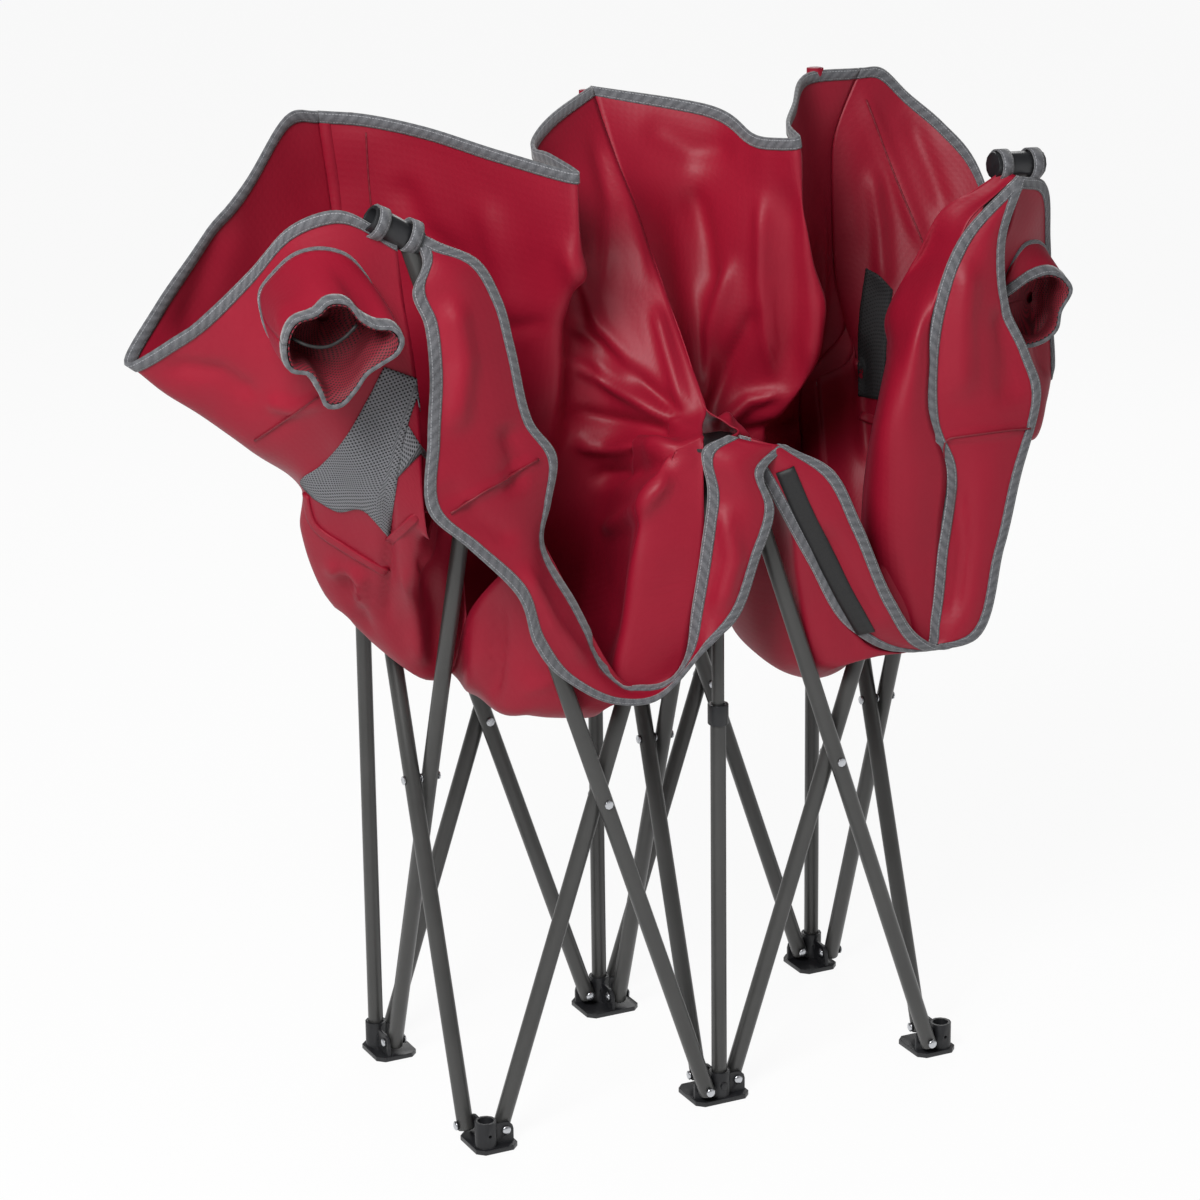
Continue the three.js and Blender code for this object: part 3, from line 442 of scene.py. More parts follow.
def addRipple(net, seed):
    # Small slow ripples along the normals, none on the top and bottom rows
    places = net / clothing["rippleWave"]
    lift = np.array([[noise.noise(Vector(place) + Vector((seed, 0, 0))) for place in row] for row in places])
    rows = np.arange(len(net))
    lift *= np.clip(np.minimum(rows, rows[::-1])[:, None] / clothing["stillRows"], 0, 1)
    return net + netNormals(net) * (lift * clothing["ripple"] * 2)[..., None]


def segmentDistance(place, start, end):
    way = end - start
    share = np.clip(((place - start) @ way) / (way @ way), 0, 1)
    return np.linalg.norm(place - start - share[..., None] * way, axis=-1), share


def addFolds(net, folds, sewn=0):
    # Each fold is a line on the picture with a half width in pixels and a height in millimetres: below zero
    # it is a valley. It fades at its ends, and over the sewn columns at each seam.
    picture = pictureOf(net * mm)
    lift = np.zeros(net.shape[:2])
    for line, width, height in folds:
        line = np.array(line, dtype=float)
        far = runAlong(line)
        best = np.full(net.shape[:2], 1e9)
        along = np.zeros(net.shape[:2])
        for i in range(len(line) - 1):
            distance, share = segmentDistance(picture, line[i], line[i + 1])
            nearer = distance < best
            best = np.where(nearer, distance, best)
            along = np.where(nearer, (far[i] + share * (far[i + 1] - far[i])) / far[-1], along)
        ends = eased(np.minimum(along, 1 - along), (0, clothing["foldFade"]))
        lift += height * clothing["foldDepth"] * np.exp(-(best / width) ** 2) * ends
    if sewn:
        columns = np.arange(net.shape[1])
        lift *= eased(np.minimum(columns, columns[::-1]), (0, sewn))
    return net + netNormals(net) * lift[..., None]


def netMap(net):
    # The flat map of the cloth in metres: the length along each row and down each column
    along = np.zeros(net.shape[:2])
    along[:, 1:] = np.cumsum(np.linalg.norm(net[:, 1:] - net[:, :-1], axis=-1), axis=1)
    down = np.zeros(net.shape[:2])
    down[1:] = np.cumsum(np.linalg.norm(net[1:] - net[:-1], axis=-1), axis=0)
    middle = net.shape[1] // 2
    return np.stack([along - along[:, middle:middle + 1], down], axis=-1) * mm


def sewSheet(name, net, material, thickness=clothing["thickness"]):
    rows, columns = net.shape[:2]
    corners = [i * columns + j for i in range(rows - 1) for j in range(columns - 1)]
    faces = [(a, a + columns, a + columns + 1, a + 1) for a in corners]
    piece = meshPiece(name, (net * mm).reshape(-1, 3), faces, material, netMap(net).reshape(-1, 2))
    wall = piece.modifiers.new("wall", "SOLIDIFY")
    wall.thickness = thickness * mm
    wall.offset = 0.0
    applyModifiers(piece)
    return piece


def netArea(net):
    one = np.linalg.norm(np.cross(net[1:, :-1] - net[:-1, :-1], net[:-1, 1:] - net[:-1, :-1]), axis=-1)
    two = np.linalg.norm(np.cross(net[1:, :-1] - net[1:, 1:], net[:-1, 1:] - net[1:, 1:]), axis=-1)
    return float((one + two).sum() / 2 * mm * mm)


# The nets: the two bags of back and seat, the two side panels, and the flap over the right arm
leftBagRows = [
    [(-270, 258, 954), seen(368, 116, 238), seen(428, 129, 190), seen(500, 152, 122), seen(577, 173, 53),
     seen(552, 156, 105), seen(534, 149, 150), seen(556, 112, 215), (-2, 257, 954)],
    [(-268, 258, 885), (-240, 238, 884), (-200, 190, 876), (-158, 122, 862), seen(578, 219, 50),
     (-112, 105, 868), (-105, 150, 872), (-52, 190, 884), (0, 206, 892)],
    [(-266, 258, 815), (-238, 240, 812), (-198, 192, 808), (-156, 124, 800), seen(577, 270, 55),
     (-104, 110, 812), (-90, 145, 818), (-40, 150, 835), (0, 165, 850)],
    [(-264, 256, 745), (-236, 236, 742), (-197, 190, 740), (-158, 132, 738), seen(559, 330, 85),
     (-100, 118, 752), (-78, 135, 765), (-36, 128, 790), (0, 128, 806)],
    [(-256, 246, 692), (-226, 232, 688), (-192, 196, 684), (-156, 146, 680), seen(556, 400, 95),
     (-98, 120, 698), (-70, 122, 712), (-34, 98, 745), (0, 92, 766)],
    [(-214, 224, 645), (-190, 212, 636), (-165, 192, 626), (-140, 165, 618), (-118, 140, 620),
     (-92, 130, 632), (-64, 112, 660), (-32, 74, 704), (0, 62, 732)],
    [(-216, 232, 580), (-192, 222, 566), (-166, 205, 552), (-142, 190, 545), (-118, 176, 548),
     (-92, 155, 566), (-64, 120, 605), (-34, 58, 664), (-2, 38, 706)],
    [(-220, 236, 522), (-194, 232, 492), (-168, 226, 470), (-142, 220, 458), (-116, 210, 462),
     (-90, 180, 488), (-66, 128, 548), (-40, 52, 660), (-6, 22, 688)],
    [(-223, 170, 472), (-196, 172, 436), (-168, 172, 418), (-142, 170, 410), (-116, 165, 414),
     (-90, 150, 436), (-68, 110, 500), (-46, 40, 658), (-10, 10, 678)],
    [(-223, 118, 440), (-196, 110, 412), (-168, 105, 404), (-142, 100, 402), (-116, 98, 404),
     (-92, 95, 420), (-70, 70, 478), (-54, 24, 656), (-14, 2, 674)],
    [(-223, 62, 520), (-200, 45, 428), (-172, 38, 412), (-141, 35, 404), (-116, 34, 404),
     (-104, 34, 420), (-93, 28, 474), (-56, 2, 654), (-18, -6, 672)],
    [(-196, -8, 592), (-160, -8, 505), (-140, -8, 445), (-128, -8, 430), (-114, -8, 428),
     (-108, -8, 440), (-96, -8, 490), (-54, -6, 636), (-18, -8, 671)],
    [seen(542, 540, -18), seen(575, 602, -20), seen(607, 661, -20), seen(628, 684, -20),
     seen(656, 686, -20), seen(682, 668, -20), seen(692, 620, -19), seen(704, 540, -18),
     seen(703, 446, -12)],
]

rightBagRows = [
    [(2, 257, 954), seen(700, 104, 200), seen(770, 139, 114), seen(798, 138, 85), seen(788, 124, 130),
     seen(794, 104, 190), seen(806, 75, 254), (262, 258, 948)],
    [(2, 206, 893), (70, 196, 880), seen(771, 190, 110), seen(803, 200, 84), (145, 130, 865),
     (185, 185, 870), (232, 240, 878), (264, 258, 880)],
    [(2, 165, 851), (58, 188, 812), seen(767, 260, 112), seen(811, 262, 84), (150, 135, 795),
     (188, 180, 800), (234, 238, 808), (266, 256, 810)],
    [(2, 128, 807), (50, 165, 750), seen(768, 330, 112), seen(817, 330, 88), (152, 150, 735),
     (188, 190, 735), (228, 236, 740), (264, 252, 740)],
    [(2, 92, 767), (46, 150, 700), seen(778, 385, 114), seen(806, 380, 96), (150, 165, 680),
     (184, 200, 680), (222, 232, 684), (254, 245, 690)],
    [(2, 62, 733), (42, 125, 655), (96, 140, 630), (124, 130, 625), (146, 160, 622), (170, 190, 628),
     (194, 212, 636), (214, 224, 645)],
    [(4, 38, 707), (42, 105, 608), (90, 158, 560), (120, 172, 548), (146, 188, 545), (168, 206, 552),
     (192, 222, 566), (216, 232, 580)],
    [(6, 22, 689), (44, 62, 648), (86, 170, 482), (116, 205, 462), (142, 218, 458), (168, 226, 470),
     (194, 232, 492), (220, 236, 522)],
    [(10, 10, 679), (48, 46, 654), (84, 130, 436), (114, 160, 416), (142, 168, 410), (168, 172, 418),
     (196, 172, 436), (223, 170, 472)],
    [(14, 2, 675), (52, 28, 654), (86, 85, 420), (114, 95, 405), (142, 98, 402), (168, 104, 404),
     (196, 110, 412), (223, 118, 440)],
    [(18, -4, 673), (56, 10, 650), (92, 36, 418), (114, 36, 404), (140, 36, 404), (166, 38, 415),
     (194, 45, 455), (223, 62, 545)],
    [(16, -8, 671), (54, 0, 636), (98, -4, 440), (114, -8, 428), (128, -8, 428), (146, -4, 452),
     (170, -2, 512), (196, 0, 592)],
    [seen(725, 438, -12), seen(775, 500, -19), seen(822, 580, -19), seen(862, 640, -19),
     seen(893, 652, -19), seen(915, 648, -19), seen(931, 610, -19), seen(940, 520, -19)],
]

sideLeftRows = [
    [seen(318, 112, 262), seen(285, 118, 250), seen(246, 182, 225), seen(200, 243, 190),
     seen(156, 306, 150), seen(131, 364, 115), seen(190, 327, 80), seen(248, 274, 50),
     seen(290, 228, 20), seen(331, 212, -2), seen(396, 240, -14)],
    [(-272, 262, 880), (-305, 250, 876), (-350, 226, 838), (-402, 190, 796), (-452, 150, 764),
     seen(165, 388, 110), seen(215, 365, 76), seen(262, 318, 40), seen(300, 280, 10), seen(340, 262, -6),
     seen(404, 300, -14)],
    [(-268, 260, 800), (-292, 246, 795), (-325, 224, 765), (-362, 190, 738), (-402, 152, 715),
     seen(205, 416, 106), seen(240, 400, 72), seen(280, 365, 35), seen(315, 340, 5), seen(350, 325, -8),
     seen(414, 360, -14)],
    [(-268, 252, 730), (-282, 236, 720), (-305, 212, 700), (-335, 184, 680), (-368, 150, 665),
     seen(250, 447, 100), seen(268, 437, 70), seen(300, 410, 32), seen(332, 395, 4), seen(366, 390, -6),
     seen(420, 420, -14)],
    [(-272, 240, 690), (-280, 222, 665), (-296, 200, 650), (-318, 176, 632), (-345, 148, 622),
     seen(298, 481, 96), seen(306, 476, 70), seen(330, 455, 35), seen(355, 450, 8), seen(385, 450, -2),
     seen(422, 480, -12)],
    [(-274, 226, 672), (-278, 206, 620), (-288, 186, 590), (-305, 166, 570), (-330, 145, 560),
     seen(302, 528, 112), seen(318, 520, 85), seen(345, 510, 55), seen(372, 512, 30), seen(398, 520, 12),
     seen(428, 540, 2)],
    [(-262, 222, 660), (-268, 196, 585), (-272, 176, 545), (-282, 160, 520), (-296, 146, 508),
     seen(330, 600, 128), seen(345, 595, 105), seen(372, 585, 80), seen(400, 580, 58),
     seen(424, 580, 40), (-262, 45, 640)],
    [(-249, 215, 655), (-249, 199, 575), (-249, 186, 535), (-249, 177, 505), (-249, 160, 462),
     (-249, 140, 437), (-249, 123, 437), (-249, 108, 462), (-249, 92, 510), (-249, 74, 565),
     (-249, 51, 655)],
]

sideRightRows = [
    [seen(860, 69, 262), seen(883, 70, 258), seen(908, 94, 250), seen(943, 124, 222),
     seen(975, 162, 190), seen(1002, 235, 150), seen(1030, 312, 110), seen(1052, 370, 75),
     seen(1050, 300, 55), seen(1049, 240, 35), seen(1044, 183, 8), seen(1022, 178, -6)],
    [(270, 262, 880), (290, 252, 872), (318, 242, 845), (342, 218, 815), (362, 190, 780),
     (376, 152, 730), (385, 115, 680), seen(1045, 400, 72), seen(1035, 340, 50), seen(1030, 285, 30),
     seen(1022, 240, 6), seen(1010, 225, -8)],
    [(266, 258, 800), (282, 246, 792), (302, 232, 772), (322, 210, 748), (340, 186, 718),
     (352, 152, 680), (360, 118, 640), seen(1030, 440, 75), seen(1018, 395, 52), seen(1008, 345, 30),
     seen(1000, 300, 8), seen(990, 285, -6)],
    [(266, 250, 735), (278, 236, 720), (296, 212, 700), (314, 184, 682), (330, 156, 662),
     (340, 130, 640), (345, 108, 620), (345, 78, 625), (338, 50, 640), (325, 28, 660), (312, 8, 680),
     (300, -4, 700)],
    [(272, 240, 690), (278, 222, 665), (288, 200, 645), (302, 176, 625), (314, 152, 605),
     (322, 130, 590), (325, 110, 580), (322, 84, 585), (312, 60, 600), (300, 36, 620), (288, 16, 645),
     (280, 2, 670)],
    [(274, 226, 672), (276, 206, 615), (284, 186, 580), (294, 166, 555), (302, 148, 540),
     (306, 134, 528), (306, 120, 525), (302, 102, 535), (294, 82, 560), (286, 62, 595), (278, 42, 640),
     (274, 30, 668)],
    [(262, 220, 658), (262, 198, 580), (264, 178, 540), (268, 162, 505), (272, 150, 480),
     (274, 138, 468), (272, 126, 468), (268, 112, 485), (266, 96, 525), (264, 78, 580), (262, 60, 630),
     (262, 48, 660)],
    [(249, 215, 655), (249, 199, 575), (249, 186, 535), (249, 174, 498), (249, 158, 460),
     (249, 142, 438), (249, 126, 436), (249, 112, 458), (249, 98, 490), (249, 82, 540), (249, 66, 600),
     (249, 51, 655)],
]

# Every point of the flap is a place on the picture with its depth
armFlapRightRows = [
    [(1000, 172, 2), (1005, 172, 0), (1010, 173, -2), (1016, 176, -8)],
    [(975, 189, 8), (983, 190, 4), (992, 192, -2), (1001, 190, -10)],
    [(942, 210, 22), (951, 213, 12), (961, 216, 2), (972, 217, -10)],
    [(917, 255, 42), (931, 254, 28), (944, 252, 8), (957, 250, -10)],
    [(886, 316, 68), (903, 300, 30), (924, 290, 4), (942, 283, -16)],
    [(888, 350, 78), (901, 342, 6), (916, 332, -18), (930, 324, -19)],
    [(880, 392, 80), (893, 386, -8), (911, 374, -23), (929, 363, -21)],
    [(872, 430, 84), (886, 425, -12), (906, 417, -25), (928, 408, -22)],
    [(864, 485, 86), (884, 480, -10), (912, 474, -24), (946, 468, -22)],
    [(862, 540, 80), (882, 536, -6), (910, 531, -20), (941, 525, -21)],
    [(868, 588, 66), (886, 587, -4), (910, 586, -19), (936, 585, -21)],
    [(884, 625, 46), (898, 627, 2), (914, 630, -18), (932, 632, -21)],
    [(896, 643, 30), (906, 645, 0), (917, 647, -18), (929, 648, -21)],
]

# Each side panel's lower edge is turned in once more, under the seat
turnIn = {"inward": 24, "down": 7}
for rows, way in ((sideLeftRows, 1), (sideRightRows, -1)):
    rows.append([(x + way * turnIn["inward"], y, z - turnIn["down"]) for x, y, z in rows[-1]])


# Neighbouring sheets share their seam points, so no light shows between them
seamRows = {"corner": 5, "ridge": 8}
for row in range(seamRows["corner"]):
    leftBagRows[row][0] = sideLeftRows[row][0]
    rightBagRows[row][-1] = sideRightRows[row][0]
for row in range(seamRows["ridge"]):
    ridge = tuple((np.array(leftBagRows[row][-1]) + np.array(rightBagRows[row][0])) / 2)
    leftBagRows[row][-1] = ridge
    rightBagRows[row][0] = ridge


def turnOut(piece):
    makeActive(piece)
    bpy.ops.object.mode_set(mode="EDIT")
    bpy.ops.mesh.select_all(action="SELECT")
    bpy.ops.mesh.normals_make_consistent(inside=False)
    bpy.ops.object.mode_set(mode="OBJECT")


def skinRings(name, rings, material, joined=False, shares=None):
    # A closed skin over a row of rings, with the map along it in metres and across it from 0 to 1
    count, around = rings.shape[:2]
    faces = []
    for i in range(count if joined else count - 1):
        after = (i + 1) % count
        for j in range(around):
            k = (j + 1) % around
            faces.append((i * around + j, i * around + k, after * around + k, after * around + j))
    if not joined:
        faces.append(tuple(range(around))[::-1])
        faces.append(tuple((count - 1) * around + j for j in range(around)))
    along = runAlong(rings.mean(axis=1)) * mm
    shares = np.linspace(0, 1, around) if shares is None else np.array(shares)
    uv = np.stack([np.repeat(along, around), np.tile(shares, count)], axis=-1)
    piece = meshPiece(name, (rings * mm).reshape(-1, 3), faces, material, uv)
    turnOut(piece)
    return piece


binding = {"reach": 10.0, "half": 1.9, "tip": 1.5, "shares": (0, 0.5, 0.95, 1, 0.95, 0.5, 0)}


def bindEdge(name, net, side, end=1.0, material=greyTape):
    # Tape folded over an edge of a net: it follows the cloth a tape's width inward on both faces
    lines = {"top": net, "bottom": net[::-1], "left": np.swapaxes(net, 0, 1)}[side]
    lines = lines[:, :int(round(end * (lines.shape[1] - 1))) + 1]
    lift = netNormals(lines)[0] * binding["half"]

    def inward(reach):
        return np.array([pointsAt(reach, runAlong(lines[:, k]), lines[:, k]) for k in range(lines.shape[1])])

    inner, centre, edge = inward(binding["reach"]), inward(binding["reach"] / 2), lines[0]
    tip = edge + unit(edge - centre) * binding["tip"]
    over = [inner + lift, centre + lift, edge + lift]
    under = [edge - lift, centre - lift, inner - lift]
    return skinRings(name, np.stack([*over, tip, *under], axis=1), material, False, binding["shares"])


def smoothLine(points, step, joined=False):
    # A smooth line through the points, in even steps
    points = np.array(points, dtype=float)
    if joined:
        points = np.concatenate([points[-2:], points, points[:3]])
    gaps = [max(2, int(s / step) + 1) * 2 for s in np.linalg.norm(points[1:] - points[:-1], axis=1)]
    drawn = smoothAlong(points[:, None, :], gaps)[:, 0]
    if joined:
        drawn = drawn[sum(gaps[:2]):len(drawn) - sum(gaps[-2:])]
    far = runAlong(drawn)
    count = max(4, int(round(far[-1] / step)))
    return pointsAt(np.linspace(0, far[-1], count, endpoint=not joined), far, drawn)


# A direction that no swept line runs in
asideWay = (0.13, 0.31, 0.94)


def sweepRound(name, points, radius, material, joined=False, around=10):
    points = np.array(points, dtype=float)
    way = np.roll(points, -1, axis=0) - np.roll(points, 1, axis=0) if joined else np.gradient(points, axis=0)
    way = unit(way)
    first = unit(np.cross(way, np.array(asideWay)))
    second = np.cross(way, first)
    angles = np.linspace(0, 2 * math.pi, around, endpoint=False)[None, :, None]
    rings = points[:, None] + radius * (np.cos(angles) * first[:, None] + np.sin(angles) * second[:, None])
    return skinRings(name, rings, material, joined)


# Trim on a sheet is named as lines on the picture, and laid on the sheet where the camera sees it. A point
# that misses the sheet is laid on it nearest to its place at the fallback depth.
laying = {"step": 4.0, "fallback": 40, "reach": 20, "sunk": 0.4, "patch": 3.0}


def treeOf(piece):
    points = [v.co.copy() for v in piece.data.vertices]
    return BVHTree.FromPolygons(points, [tuple(p.vertices) for p in piece.data.polygons])


def laidPoint(tree, across, down):
    aim = Vector(rayTo(across, down))
    hit, normal = tree.ray_cast(Vector(eyePoint), aim.normalized())[:2]
    if hit is None:
        hit, normal = tree.find_nearest(Vector(seen(across, down, laying["fallback"])) * mm)[:2]
    if normal.dot(aim) > 0:
        normal = -normal
    return np.array(hit) / mm, np.array(normal)


def evened(values, times):
    for _ in range(times):
        middle = (values[:-2] + 2 * values[1:-1] + values[2:]) / 4
        values = np.concatenate([values[:1], middle, values[-1:]])
    return values


def layTape(name, tree, line, width, high, material, columns=5):
    # A flat tape along a picture line, pressed to the sheet across its whole width
    found = [laidPoint(tree, *place) for place in smoothLine(line, laying["step"])]
    centre, normal = (evened(np.array(each), 3) for each in zip(*found))
    normal = unit(normal)
    side = unit(np.cross(np.gradient(centre, axis=0), normal))
    top, under = [], []
    for share in np.linspace(-0.5, 0.5, columns):
        pressed = []
        for point, up in zip(centre + side * width * share, normal):
            hit = tree.find_nearest(Vector(point) * mm, laying["reach"] * mm)[0]
            level = point if hit is None else np.array(hit) / mm
            pressed.append(point + up * float(np.dot(level - point, up)))
        pressed = evened(np.array(pressed), 2)
        top.append(pressed + normal * high)
        under.append(pressed - normal * laying["sunk"])
    shares = np.linspace(0, 1, columns)
    return skinRings(name, np.stack(top + under[::-1], axis=1), material, False, [*shares, *shares[::-1]])


def layPatch(name, tree, rows, material):
    # A patch on both faces of the sheet, its corners named on the picture
    places = drawNet([[(x, y, 0.0) for x, y in row] for row in rows], laying["step"])
    net = np.array([[laidPoint(tree, x, y)[0] for x, y, _ in row] for row in places])
    return sewSheet(name, net, material, laying["patch"])


# Folds of the half closed chair, as lines on the picture: half width in pixels, height in millimetres
leftBagFolds = [
    ([(619, 98), (632, 160), (645, 220), (652, 290)], 13, -9), ([(600, 120), (612, 200), (604, 300)], 12, 6),
    ([(662, 205), (680, 250), (690, 300)], 9, -6), ([(690, 425), (645, 385), (600, 340), (556, 318)], 8, 6),
    ([(692, 432), (640, 400), (590, 372), (556, 356)], 7, -7), ([(690, 436), (630, 425), (560, 410)], 9, 7),
    ([(684, 442), (620, 448), (566, 440)], 8, -8), ([(684, 450), (640, 470), (585, 480)], 9, 7),
    ([(672, 470), (640, 510), (600, 535)], 8, -7), ([(690, 420), (668, 350), (655, 300)], 8, -7),
    ([(560, 230), (600, 330), (648, 392)], 9, -6), ([(440, 300), (500, 330), (556, 322)], 9, 3),
    ([(395, 170), (420, 230), (470, 270)], 14, 4), ([(480, 190), (500, 260), (510, 330)], 12, -4),
    ([(495, 580), (498, 640), (492, 706)], 7, -7), ([(518, 663), (536, 668), (556, 677)], 4, -3),
    ([(520, 690), (538, 686), (556, 684)], 4, 3), ([(470, 610), (475, 660), (470, 700)], 8, 4),
]
rightBagFolds = [
    ([(763, 185), (762, 280), (772, 385)], 7, -6), ([(816, 190), (819, 290), (806, 385)], 7, -6),
    ([(788, 170), (790, 280), (788, 395)], 14, 5), ([(706, 430), (730, 360), (760, 300)], 8, 6),
    ([(712, 432), (750, 400), (790, 392)], 7, -6), ([(716, 440), (770, 430), (815, 425)], 8, 6),
    ([(700, 415), (712, 330), (735, 250)], 8, -6), ([(690, 180), (705, 240), (712, 300)], 11, 5),
    ([(640, 120), (690, 150), (740, 150)], 14, 4), ([(830, 470), (845, 540), (850, 620)], 8, 5),
]
sideLeftFolds = [
    ([(160, 362), (220, 372), (262, 400)], 8, 4), ([(232, 205), (205, 280), (180, 345)], 14, -4),
    ([(262, 400), (296, 408), (330, 396)], 7, -4), ([(388, 481), (389, 550), (386, 632)], 5, 5),
    ([(319, 567), (345, 571), (362, 576), (354, 618)], 6, -5), ([(420, 545), (436, 610), (440, 680)], 10, 6),
    ([(404, 560), (414, 620), (420, 672)], 7, -6), ([(340, 560), (352, 600), (372, 636)], 7, 5),
    ([(300, 250), (290, 300), (300, 360)], 9, 3), ([(318, 600), (330, 616), (352, 622)], 5, 4),
]
sideRightFolds = [
    ([(858, 85), (895, 170), (930, 262)], 8, -4), ([(905, 110), (930, 170), (948, 220)], 10, 4),
    ([(870, 160), (880, 230), (885, 300)], 9, -5), ([(860, 330), (862, 400), (868, 470)], 8, 5),
    ([(1030, 300), (1040, 350), (1046, 380)], 6, -4),
]
stripLeftFolds = [
    ([(445, 515), (492, 486), (543, 456)], 3.5, -2.2), ([(450, 290), (462, 360), (452, 440)], 12, -7),
    ([(505, 420), (516, 455), (512, 500)], 9, 5), ([(590, 630), (606, 668), (640, 692)], 6, 4),
    ([(440, 480), (480, 520), (520, 545)], 7, 4), ([(722, 500), (734, 560), (716, 620)], 9, -5),
    ([(520, 560), (552, 622), (588, 668)], 6, -4),
]
stripRightFolds = [
    ([(925, 441), (980, 434), (1036, 427)], 3.5, -2.2), ([(968, 250), (962, 320), (960, 410)], 12, -7),
    ([(1000, 300), (1008, 360), (1008, 410)], 9, 5), ([(955, 470), (962, 550), (950, 630)], 10, 5),
    ([(820, 520), (850, 570), (884, 628)], 7, -4),
]
nets, sheets, trims = {}, {}, {}


def addSheet(name, net, *replaced):
    nets[name] = net
    sheets[name] = sewSheet(name, net, redOxford)
    trims[name] = []
    if replaced:
        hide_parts(*replaced)


def drawSheet(rows, seed, folds):
    return addFolds(addRipple(drawNet(rows, spacing), seed), folds, clothing["sewnColumns"])


addSheet("seatAndBackLeft", drawSheet(leftBagRows, 3, leftBagFolds),
         "back_panel_left", "seat_panel_left")
addSheet("seatAndBackRight", drawSheet(rightBagRows, 7, rightBagFolds),
         "back_panel_right", "seat_panel_right")
addSheet("sidePanelLeft", drawSheet(sideLeftRows, 11, sideLeftFolds), "side_panel_left")
addSheet("sidePanelRight", drawSheet(sideRightRows, 15, sideRightFolds), "side_panel_right")
addSheet("armFlapRight", drawNet([[seen(*place) for place in row] for row in armFlapRightRows], spacing))
print("sheets sewn", [round(netArea(net), 3) for net in nets.values()])


# The front strips, from the arms down the openings to the centre hub: inner and outer edge, column by column
stripLeftPairs = [
    ((411, 229, -14), (411, 232, -18)), ((440, 244, -18), (424, 262, -20)),
    ((474, 258, -20), (414, 290, -22)), ((500, 298, -20), (426, 325, -26)),
    ((513, 345, -20), (431, 370, -32)), ((531, 420, -20), (429, 440, -38)),
    ((556, 458, -20), (430, 512, -44)), ((550, 500, -20), (470, 548, -46)),
    ((542, 541, -20), (516, 592, -46)), ((575, 602, -20), (536, 645, -44)),
    ((607, 661, -20), (566, 680, -42)), ((630, 684, -20), (612, 703, -42)),
    ((662, 684, -20), (655, 700, -42)), ((685, 660, -20), (703, 651, -42)),
    ((693, 610, -20), (735, 620, -40)), ((703, 545, -20), (758, 560, -38)),
    ((709, 490, -18), (773, 508, -36)), ((704, 450, -16), (763, 472, -32)),
    ((728, 436, -14), (785, 447, -26)),
]
stripRightPairs = [
    ((740, 436, -14), (785, 446, -26)), ((775, 500, -20), (832, 471, -36)),
    ((808, 560, -20), (860, 524, -42)), ((850, 628, -20), (893, 600, -42)),
    ((897, 650, -20), (921, 639, -36)), ((927, 646, -20), (944, 648, -36)),
    ((931, 618, -20), (972, 641, -38)), ((937, 557, -20), (1003, 548, -40)),
    ((946, 468, -20), (1020, 475, -38)), ((928, 420, -20), (1040, 396, -34)),
    ((928, 350, -18), (1029, 355, -30)), ((942, 282, -16), (1006, 295, -26)),
    ((960, 240, -14), (1004, 245, -22)), ((1018, 176, -18), (1024, 180, -22)),
]
# The strips bulge forward between their edges, fully where they are this wide
strip = {"bulge": 8, "fullWidth": 50}


def stripNet(pairs):
    inner, outer = (np.array([seen(*pair[k]) for pair in pairs]) for k in (0, 1))
    middle = (inner + outer) / 2
    wide = np.linalg.norm(outer - inner, axis=1)
    middle[:, 1] -= strip["bulge"] * np.clip(wide / strip["fullWidth"], 0, 1)
    return drawNet(np.stack([inner, middle, outer]), spacing)


addSheet("frontStripLeft", addFolds(stripNet(stripLeftPairs), stripLeftFolds), "front_band_left")
addSheet("frontStripRight", addFolds(stripNet(stripRightPairs), stripRightFolds), "front_band_right")
print("strips sewn")


# Corner gussets between the seat bags and the side panels, over the outer scissor tubes
gusset = {"top": 700, "front": 545, "middle": 133, "bagEnd": 72, "step": 8.0, "rows": 6}


def gussetNet(bagNet, bagEnd, sideNet):
    def topOf(line):
        return int(np.argmin(np.abs(line[:, 2] - gusset["top"])))

    bagLine = bagNet[:, bagEnd]
    frontmost = int(np.argmax(bagLine[:, 1] < gusset["bagEnd"]))
    bagLine = smoothLine(bagLine[topOf(bagLine):frontmost], gusset["step"])
    upper, lower = sideNet[:, 0], sideNet[-1]
    rising = int(np.argmax((lower[:, 1] < gusset["middle"]) & (lower[:, 2] > gusset["front"])))
    sideLine = smoothLine(np.concatenate([upper[topOf(upper):], lower[1:rising]]), gusset["step"])
    matched = pointsAt(np.linspace(0, 1, len(bagLine)), np.linspace(0, 1, len(sideLine)), sideLine)
    return np.stack([bagLine * (1 - t) + matched * t for t in np.linspace(0, 1, gusset["rows"])])


addSheet("cornerGussetLeft", gussetNet(nets["seatAndBackLeft"], 0, nets["sidePanelLeft"]))
addSheet("cornerGussetRight", gussetNet(nets["seatAndBackRight"], -1, nets["sidePanelRight"]))


# Grey binding on the free edges, and a red tape down the left post's seam
bindings = {
    "bindingBackLeft": ("seatAndBackLeft", "top"),
    "seamTapePostLeft": ("seatAndBackLeft", "left", 0.55, redOxford),
    "bindingBackRight": ("seatAndBackRight", "top"),
    "bindingSideLeft": ("sidePanelLeft", "top"),
    "bindingSideRight": ("sidePanelRight", "top"),
    "bindingStripLeftInner": ("frontStripLeft", "top"),
    "bindingStripLeftOuter": ("frontStripLeft", "bottom"),
    "bindingStripRightInner": ("frontStripRight", "top"),
    "bindingStripRightOuter": ("frontStripRight", "bottom"),
}
for name, (sheet, *how) in bindings.items():
    trims[sheet].append(bindEdge(name, nets[sheet], *how))
print("bindings sewn")


